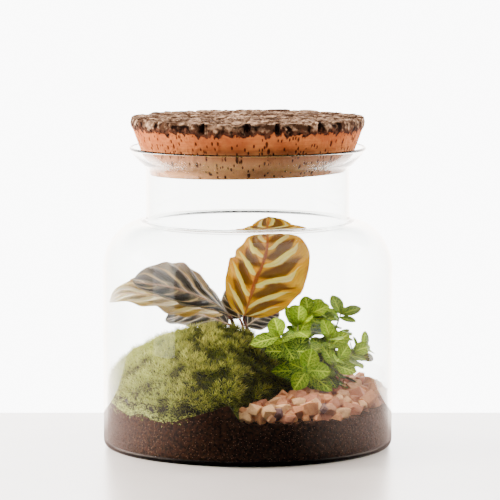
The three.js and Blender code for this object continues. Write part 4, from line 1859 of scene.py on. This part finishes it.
@dataclass
class PeacockPlant:
    """The peacock plant behind the moss."""

    soil: SoilBed
    leaves: tuple[PeacockLeaf, ...] = (
        PeacockLeaf((0, 21), 104, ((-3, 19, 111), (6.5, 18, 141), (14.5, 17, 164), (18, 11, 198)),
                    (0.45, -1, 0.1), Blade(74, 0.5, 0.42, 0.08, 0.3, 4.5, 2.6, pucker=2.2), GOLD_LEAF,
                    Slot.GOLD),
        PeacockLeaf((-10, 17), 100, ((-16, 10, 112), (-29, -5, 125), (-61, -21, 139), (-98, -25, 146)),
                    (-0.1, -0.75, 0.7), Blade(45, 0.57, 0.62, 0.5, -0.2, 2, 2.0, pucker=1.6), DARK_LEAF,
                    Slot.DARK),
        PeacockLeaf((-12, 26), 100,
                    ((-20, 20, 113), (-50, 10, 124), (-84, 1, 131), (-106, -6, 133), (-119, -11, 126)),
                    (0.1, -0.6, 0.8), Blade(42, 0.47, 0.75, 0.0, 0.1, 2.5, 3.0, pucker=1.6), PALE_LEAF,
                    Slot.GOLD),
        PeacockLeaf((-8, 34), 94, ((-17, 37, 101), (-38, 42, 108), (-55, 46, 108), (-73, 48, 103)),
                    (0, -0.6, 0.8), Blade(36, 0.45, 0.62, 0.0, 0.15, 2, 2.0, pucker=0.6), SHADE_LEAF,
                    Slot.DARK),
        PeacockLeaf((5, 27), 95, ((-1, 25, 101), (8, 27, 107), (17, 30, 111), (28, 34, 111)),
                    (-0.1, -0.72, 0.68), Blade(30, 0.45, 0.62, 0.0, 0.15, 2, 1.5, pucker=0.5), SHADE_LEAF,
                    Slot.DARK),
        PeacockLeaf((-3, 32), 100, ((-7, 37, 106), (-10, 41, 116), (-12, 45, 126), (-14, 50, 136)),
                    (-0.2, -1, 0.3), Blade(26, 0.4, 0.62, 0.0, 0.2, 1.5, 1.0, pucker=0.4), SHADE_LEAF,
                    Slot.DARK),
    )
    root_depth: float = 8.0
    midrib_share: float = 0.9
    columns: int = 40
    rows: int = 70

    def build(self) -> None:
        """Lays each leaf's blade and draws the stalks and midribs."""
        sheet = Sheet.cut(self.columns, self.rows)
        paths = []
        ribs = []
        for number, leaf in enumerate(self.leaves, start=1):
            rib = smooth_path(leaf.midrib, sheet.rows)
            heap = Heap()
            points = leaf.blade.lay(rib, np.array(leaf.facing, dtype=float), sheet.side)
            heap.add(points, sheet.faces, number / len(self.leaves), sheet.flat[:, 1], sheet.flat)
            piece = thickened(heap, f"peacock_blade_{number}", leaf.blade.thickness)
            present(piece, leaf.finish, leaf.slot, f"peacock_leaf_{number}")
            x, y = leaf.root
            height = float(self.soil.height(x, y))
            base, after = (np.array(p, dtype=float) for p in leaf.midrib[:2])
            stem = cubic((x, y, height + 2), (x, y, leaf.knee), base - 0.2 * (after - base), base, 16)
            paths.append(np.vstack([[x, y, height - self.root_depth + 1], stem]))
            ribs.append(rib[:int(sheet.rows * self.midrib_share)])
        present(stalks("peacock_stalks", paths, 1.5, 1.2), RED_STALK, Slot.DARK)
        present(stalks("peacock_midrib", ribs[:1], 1.0, 0.35), AMBER_MIDRIB, Slot.GOLD)
        present(stalks("peacock_midribs_dark", ribs[1:], 0.7, 0.25), BROWN_MIDRIB, Slot.DARK)


@dataclass(frozen=True)
class SmallLeaf:
    """Where one small leaf grows: down from the tip, about the stem and away from it, and its own form."""

    step: float
    turn: float
    pitch: float
    length: float
    # How bright the leaf is painted, from 0 to 1: partly its own green, partly painted light and shade.
    tone: float
    broad: float = 0.76


@dataclass(frozen=True)
class NetStem:
    """One leafy stem of the bush: where it stands, where its tip is and how its pairs turn."""

    root: tuple[float, float]
    tip: Point
    aim: Point
    turns: tuple[float, ...]
    size: float
    shown: tuple[SmallLeaf, ...] = ()


@dataclass
class NetBush:
    """The bush of net-leaved stems between the moss and the gravel."""

    soil: SoilBed
    stems: tuple[NetStem, ...] = (
        NetStem((48, -16), (50, -66, 74.5), (0, -0.95, 0.1), (75, 165, 120), 1.1, (
            SmallLeaf(1, 77, 62, 21, 1.0, 0.8), SmallLeaf(1, 236, 74, 20.5, 0.55, 0.74),
            SmallLeaf(8, 356, 76, 20.5, 0.8, 0.74), SmallLeaf(8, 158, 70, 17, 0.3),
            SmallLeaf(15, 321, 84, 28, 0.42, 0.5), SmallLeaf(15, 182, 84, 30, 0.12, 0.42))),
        NetStem((47, -6), (27, -51, 102), (-0.35, -0.6, 0.7), (110, 190), 1.1, (
            SmallLeaf(1, 190, 80, 26, 0.16, 0.68), SmallLeaf(1, 98, 58, 18, 0.95, 0.9),
            SmallLeaf(4, 345, 70, 15, 0.15, 0.85), SmallLeaf(9, 295, 95, 25, 0.12, 0.5),
            SmallLeaf(10, 160, 60, 15, 0.9, 0.7))),
        NetStem((48, 4), (43, -27, 109), (-0.05, -0.45, 0.9), (65, 135), 1.0, (
            SmallLeaf(1, 82, 42, 19, 1.0, 0.8), SmallLeaf(3, 128, 44, 21, 0.62, 0.55),
            SmallLeaf(1, 20, 60, 16, 0.85), SmallLeaf(8, 300, 72, 18, 0.6), SmallLeaf(8, 240, 74, 18, 0.2),
            SmallLeaf(14, 60, 56, 20, 0.5))),
        NetStem((55, 10), (53, -3, 115), (0.1, -0.6, 0.8), (40, 130, 85), 1.0, (
            SmallLeaf(1, 15, 60, 20, 0.9, 0.8), SmallLeaf(1, 105, 55, 18, 0.6, 0.8),
            SmallLeaf(1, 200, 60, 18, 0.4, 0.8), SmallLeaf(6, 345, 74, 24, 0.35, 0.75),
            SmallLeaf(6, 60, 66, 24, 0.8, 0.75), SmallLeaf(6, 150, 70, 20, 0.3),
            SmallLeaf(12, 10, 74, 24, 0.25, 0.8), SmallLeaf(12, 240, 74, 22, 0.2, 0.8),
            SmallLeaf(18, 310, 76, 24, 0.15, 0.8), SmallLeaf(18, 30, 76, 24, 0.3, 0.8))),
        NetStem((68, 12), (81, 2, 115), (0.25, -0.6, 0.75), (130, 20), 1.0, (
            SmallLeaf(1, 125, 62, 19, 0.4, 0.7), SmallLeaf(1, 18, 66, 19, 0.3, 0.6),
            SmallLeaf(5, 340, 78, 15, 0.3, 0.6), SmallLeaf(6, 200, 78, 19, 0.3, 0.7),
            SmallLeaf(9, 150, 66, 16, 0.95, 0.8), SmallLeaf(14, 240, 70, 22, 0.25, 0.8),
            SmallLeaf(16, 200, 72, 22, 0.2, 0.8), SmallLeaf(20, 300, 72, 22, 0.2, 0.8))),
        NetStem((72, -6), (91, -17, 84), (0.6, -0.5, 0.6), (30, 120), 0.95),
        NetStem((60, -4), (71, -28, 97), (0.2, -0.5, 0.85), (125, 40, 85), 1.0),
        NetStem((60, -18), (78, -46, 82), (0.35, -0.65, 0.6), (60, 150), 0.85),
        NetStem((50, 20), (45, 34, 99), (-0.1, 0.4, 0.9), (70, 160), 1.0),
        NetStem((63, 24), (75, 42, 91), (0.3, 0.5, 0.8), (20, 110), 1.0),
        NetStem((78, 8), (101, 20, 82), (0.8, 0.3, 0.5), (55, 145), 0.95),
    )
    root_depth: float = 8.0
    root_straight: float = 10.0
    steps: tuple[float, ...] = (1.0, 11.0, 22.0)
    lengths: tuple[float, ...] = (18.0, 23.0, 22.0)
    pitches: tuple[float, ...] = (50.0, 68.0, 80.0)
    path_points: int = 120
    bend_at: float = 0.55
    droop: float = 0.15
    thickness: float = 0.4
    extra_steps: tuple[float, ...] = (0.2, 6.0, 16.5, 26.0, 33.0)
    extra_lengths: tuple[float, ...] = (7.0, 15.0, 18.0, 20.0, 18.0)
    extra_pitches: tuple[float, ...] = (24.0, 60.0, 74.0, 80.0, 86.0)

    def grown(self, stem: NetStem, draw: np.random.Generator) -> list[SmallLeaf]:
        """Lists a stem's leaves.

        Args:
            stem: the stem.
            draw: the source of its unevenness.

        Returns:
            The leaves that the picture shows one by one, and the pairs that fill the rest.
        """
        pairs = []
        if not stem.shown:
            pairs = list(zip(self.steps, stem.turns, self.pitches, self.lengths))
        pairs += [(step, stem.turns[0] + 90 + 50 * i, pitch, reach) for i, (step, pitch, reach)
                  in enumerate(zip(self.extra_steps, self.extra_pitches, self.extra_lengths))
                  if not stem.shown or step < 1 or step > 20]
        leaves = list(stem.shown)
        for step, turn, pitch, reach in pairs:
            for half in (0, 180):
                length = reach * stem.size * draw.uniform(0.92, 1.06)
                # Leaves further down the stem are darker: partly the paler young leaves at the tip, partly
                # painted shade lower in the bush.
                tone = float(np.clip(0.8 - step / 30 + draw.uniform(-0.22, 0.22), 0.02, 1))
                leaves.append(SmallLeaf(step, turn + half + draw.uniform(-8, 8), pitch + draw.uniform(-6, 6),
                                        length, tone))
        return leaves

    def leaf(self, start: np.ndarray, up: np.ndarray, form: SmallLeaf, sheet: Sheet) -> np.ndarray:
        """Lays one small leaf.

        Args:
            start: where it joins the stem.
            up: the stem's direction there.
            form: its turn, its lean and its size.
            sheet: the flat sheet that it is bent from.

        Returns:
            Its points.
        """
        reference = unit(np.array([1.0, 0, 0]) - up * up[0])
        angle = math.radians(form.turn)
        out = reference * math.cos(angle) + np.cross(up, reference) * math.sin(angle)
        lean = math.radians(form.pitch)
        along = up * math.cos(lean) + out * math.sin(lean)
        reach = form.length
        middle = start + along * reach * self.bend_at
        point = start + along * reach * (1 - self.droop) + out * reach * self.droop
        t = np.linspace(0, 1, sheet.rows)[:, None]
        rib = start * (1 - t) ** 2 + 2 * middle * t * (1 - t) + point * t ** 2
        blade = Blade(reach * form.broad, 0.5, 0.66, fold=0.14, pucker=reach * 0.014, pairs=NET_PAIRS,
                      sweep=NET_SWEEP)
        return blade.lay(rib, up, sheet.side, 0.35)

    def build(self) -> None:
        """Grows each stem with its leaves."""
        sheet = Sheet.cut(12, 14)
        draw = np.random.default_rng(8)
        for number, stem in enumerate(self.stems, start=1):
            x, y = stem.root
            height = float(self.soil.height(x, y))
            tip = np.array(stem.tip, dtype=float)
            aim = unit(np.array(stem.aim, dtype=float))
            length = float(np.linalg.norm(tip - (x, y, height)))
            path = cubic((x, y, height - self.root_depth + self.root_straight), (x, y, height + length / 3),
                         tip - aim * length / 3, tip, 60)
            path = spaced(path, self.path_points)
            total = float(np.linalg.norm(np.diff(path, axis=0), axis=1).sum())
            heads = unit(np.gradient(path, axis=0))
            heap = Heap()
            for form in self.grown(stem, draw):
                last = self.path_points - 1
                index = min(last, max(0, round((1 - form.step / total) * last)))
                points = self.leaf(path[index], heads[index], form, sheet)
                heap.add(points, sheet.faces, form.tone, sheet.flat[:, 1], sheet.flat)
            leaves = thickened(heap, f"net_leaves_{number}", self.thickness)
            present(leaves, GREEN_LEAF, Slot.NET, f"fittonia_stem_{number}")
            whole = np.vstack([[x, y, height - self.root_depth + 1], path[::6], path[-1:]])
            present(stalks(f"net_stem_{number}", [whole], 1.0, 0.6), GREEN_STALK, Slot.NET)


# The place where it is shown


@dataclass(frozen=True)
class SoftBox:
    """A soft lamp that looks at the jar, with its place and size in metres and its watts."""

    name: str
    place: Point
    size: tuple[float, float]
    power: float
    mirrored: bool = False

    def build(self, target: Vector) -> None:
        """Adds the lamp and turns it towards the target.

        Args:
            target: the place that it looks at, in metres.
        """
        deselect_all()
        bpy.ops.object.light_add(type="AREA", location=self.place)
        lamp = bpy.context.object
        lamp.name = self.name
        lamp.data.shape = "RECTANGLE"
        lamp.data.size, lamp.data.size_y = self.size
        lamp.data.energy = self.power
        lamp.visible_camera = False
        lamp.visible_glossy = self.mirrored
        lamp.rotation_euler = (target - Vector(self.place)).to_track_quat("-Z", "Y").to_euler()


@dataclass
class Studio:
    """A pale table before a bright wall, soft lights and the camera."""

    camera_place: Point = (0.002, -3.057, 0.495)
    camera_tilt: float = 6.07
    lens: float = 256.03
    sensor: float = 36.0
    sight: float = 50.0
    middle: Point = (0.0, 0.0, 0.12)
    table_back: float = 0.185
    table_front: float = -1.6
    table_half: float = 0.95
    table_thick: float = 0.05
    table_drop: float = 0.0002
    table_edge: float = 0.002
    backdrop: float = 10.0
    wall_light: float = 12.0
    ceiling: float = 0.7
    ceiling_from: tuple[float, float] = (0.35, 0.9)
    gleam: float = 0.15
    gleam_from: tuple[float, float] = (0.25, 0.5)
    trapped_light: float = 8.0
    low_share: float = 0.12
    low_band: tuple[float, float, float, float] = (-0.140, -0.125, -0.110, -0.098)
    low_turn: tuple[float, float] = (0.45, 0.85)
    mirrored_tint: Colour = (1.0, 0.90, 0.83)
    left_share: float = 0.05
    walls: tuple[tuple[float, float], ...] = (
        (0.13, 0.002), (0.25, 0.03), (0.38, 0.08), (0.50, 0.17), (0.60, 0.27), (0.70, 0.36), (0.80, 0.42),
        (0.90, 0.55), (1.0, 1.0))
    lamps: tuple[SoftBox, ...] = (
        SoftBox("left soft box", (-0.60, -0.285, 0.26), (0.24, 0.52), 0.5, mirrored=True),
        SoftBox("left high box", (-1.55, 0.25, 0.95), (0.7, 0.7), 120),
        SoftBox("right high box", (1.35, 0.5, 1.15), (0.7, 0.7), 36),
        SoftBox("overhead box", (0.1, -0.7, 1.75), (2.6, 1.8), 17))

    def camera(self) -> None:
        """Sets the camera where the picture was taken."""
        deselect_all()
        bpy.ops.object.camera_add(location=self.camera_place,
                                  rotation=(math.radians(90 - self.camera_tilt), 0, 0))
        camera = bpy.context.object
        camera.data.lens = self.lens
        camera.data.sensor_width = self.sensor
        camera.data.clip_end = self.sight
        bpy.context.scene.camera = camera

    def table(self) -> None:
        """Adds the table top with a worn edge."""
        deselect_all()
        depth = self.table_back - self.table_front
        bpy.ops.mesh.primitive_cube_add(size=1.0)
        top = bpy.context.object
        top.name = "table"
        top.scale = (2 * self.table_half, depth, self.table_thick)
        top.location = (0, self.table_back - depth / 2, -self.table_thick / 2 - self.table_drop)
        bpy.ops.object.transform_apply(location=True, rotation=True, scale=True)
        with editing(top):
            bpy.ops.mesh.bevel(offset=self.table_edge, segments=3, affect="EDGES")
        smooth(top, 40)
        top.data.materials.append(TABLE.material())

    def wall_light_by_turn(self, tree: Tree, turn: Value) -> Value:
        """The walls' light: bright behind the jar, paler at the sides and dim in front.

        Args:
            tree: the world's nodes.
            turn: 1 towards the back, -1 towards the camera.

        Returns:
            The light.
        """
        walls = put(tree, "ShaderNodeValToRGB", {"Fac": turn.scaled(0.5, 0.5)})
        marks = walls.color_ramp.elements
        for index, (place, value) in enumerate(self.walls):
            mark = marks[index] if index < 2 else marks.new(place)
            mark.position = place
            mark.color = (value, value, value, 1)
        return results(walls)["Color"] * self.wall_light

    def sky(self) -> None:
        """Lights the room: a white wall behind, paler walls at the sides, and a dim front.

        The camera sees the wall as white through any number of panes. Light that a pane bends
        towards a matt surface is left out, because the glass already lets it pass straight. What
        the glass mirrors is dimmer from above and from just under the horizon, as in a room, and
        light that is trapped in the glass comes out bright.
        """
        world = bpy.data.worlds.new("white room")
        bpy.context.scene.world = world
        world.use_nodes = True
        tree = world.node_tree
        x, y, z = results(put(tree, "ShaderNodeTexCoord"))["Generated"].axes()
        level = Value(put(tree, "ShaderNodeCombineXYZ", {"X": x, "Y": y}).outputs[0]).vector("LENGTH")
        turn = x.scaled(-self.left_share, y) / level.math("MAXIMUM", 0.001)
        seen = self.wall_light_by_turn(tree, turn)
        matt = z.ramp(*self.ceiling_from).blend(seen, (self.ceiling,) * 3)
        dim = (1.0 - z.ramp(*self.low_band[2:])) * z.ramp(*self.low_band[:2])
        dim = dim * (1.0 - turn.ramp(*self.low_turn))
        low = seen * dim.scaled(self.low_share - 1, 1.0)
        warm = low.vector("MULTIPLY", self.mirrored_tint)
        mirrored = z.ramp(*self.gleam_from).blend(warm, (self.gleam,) * 3)
        path = results(put(tree, "ShaderNodeLightPath"))
        bent, matt_hits, mirror_hits = (path[name] for name in
                                        ("Is Transmission Ray", "Diffuse Depth", "Glossy Depth"))
        room = path["Is Singular Ray"].blend(matt, mirrored)
        room = (bent * matt_hits.over(0.5)).blend(room, BLACK)
        trapped = bent * (mirror_hits.over(0.5) * matt_hits.under(0.5))
        trapped = trapped * path["Transmission Depth"].over(2.5) * y.over(0.0)
        room = trapped.blend(room, (self.trapped_light,) * 3)
        direct = path["Is Camera Ray"].math("MAXIMUM", bent * (matt_hits + mirror_hits).under(0.5))
        fill(tree.nodes["Background"], {"Color": direct.blend(room, (self.backdrop,) * 3)})

    def build(self) -> None:
        """Sets up the table, the room and the lamps."""
        self.table()
        self.sky()
        for lamp in self.lamps:
            lamp.build(Vector(self.middle))


def main() -> None:
    """Builds the terrarium from the glass inwards, and shows it."""
    logging.basicConfig(level=logging.INFO, format="%(name)s %(message)s")
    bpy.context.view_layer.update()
    studio = Studio()
    studio.camera()
    jar = GlassJar()
    soil = SoilBed(jar)
    moss = MossCushion(soil)
    bush = NetBush(soil)
    jar.build()
    CorkStopper().build()
    soil.build()
    moss.build()
    GravelPatch(soil, moss, bush).build()
    PeacockPlant(soil).build()
    bush.build()
    studio.build()


if __name__ == "__main__":
    main()
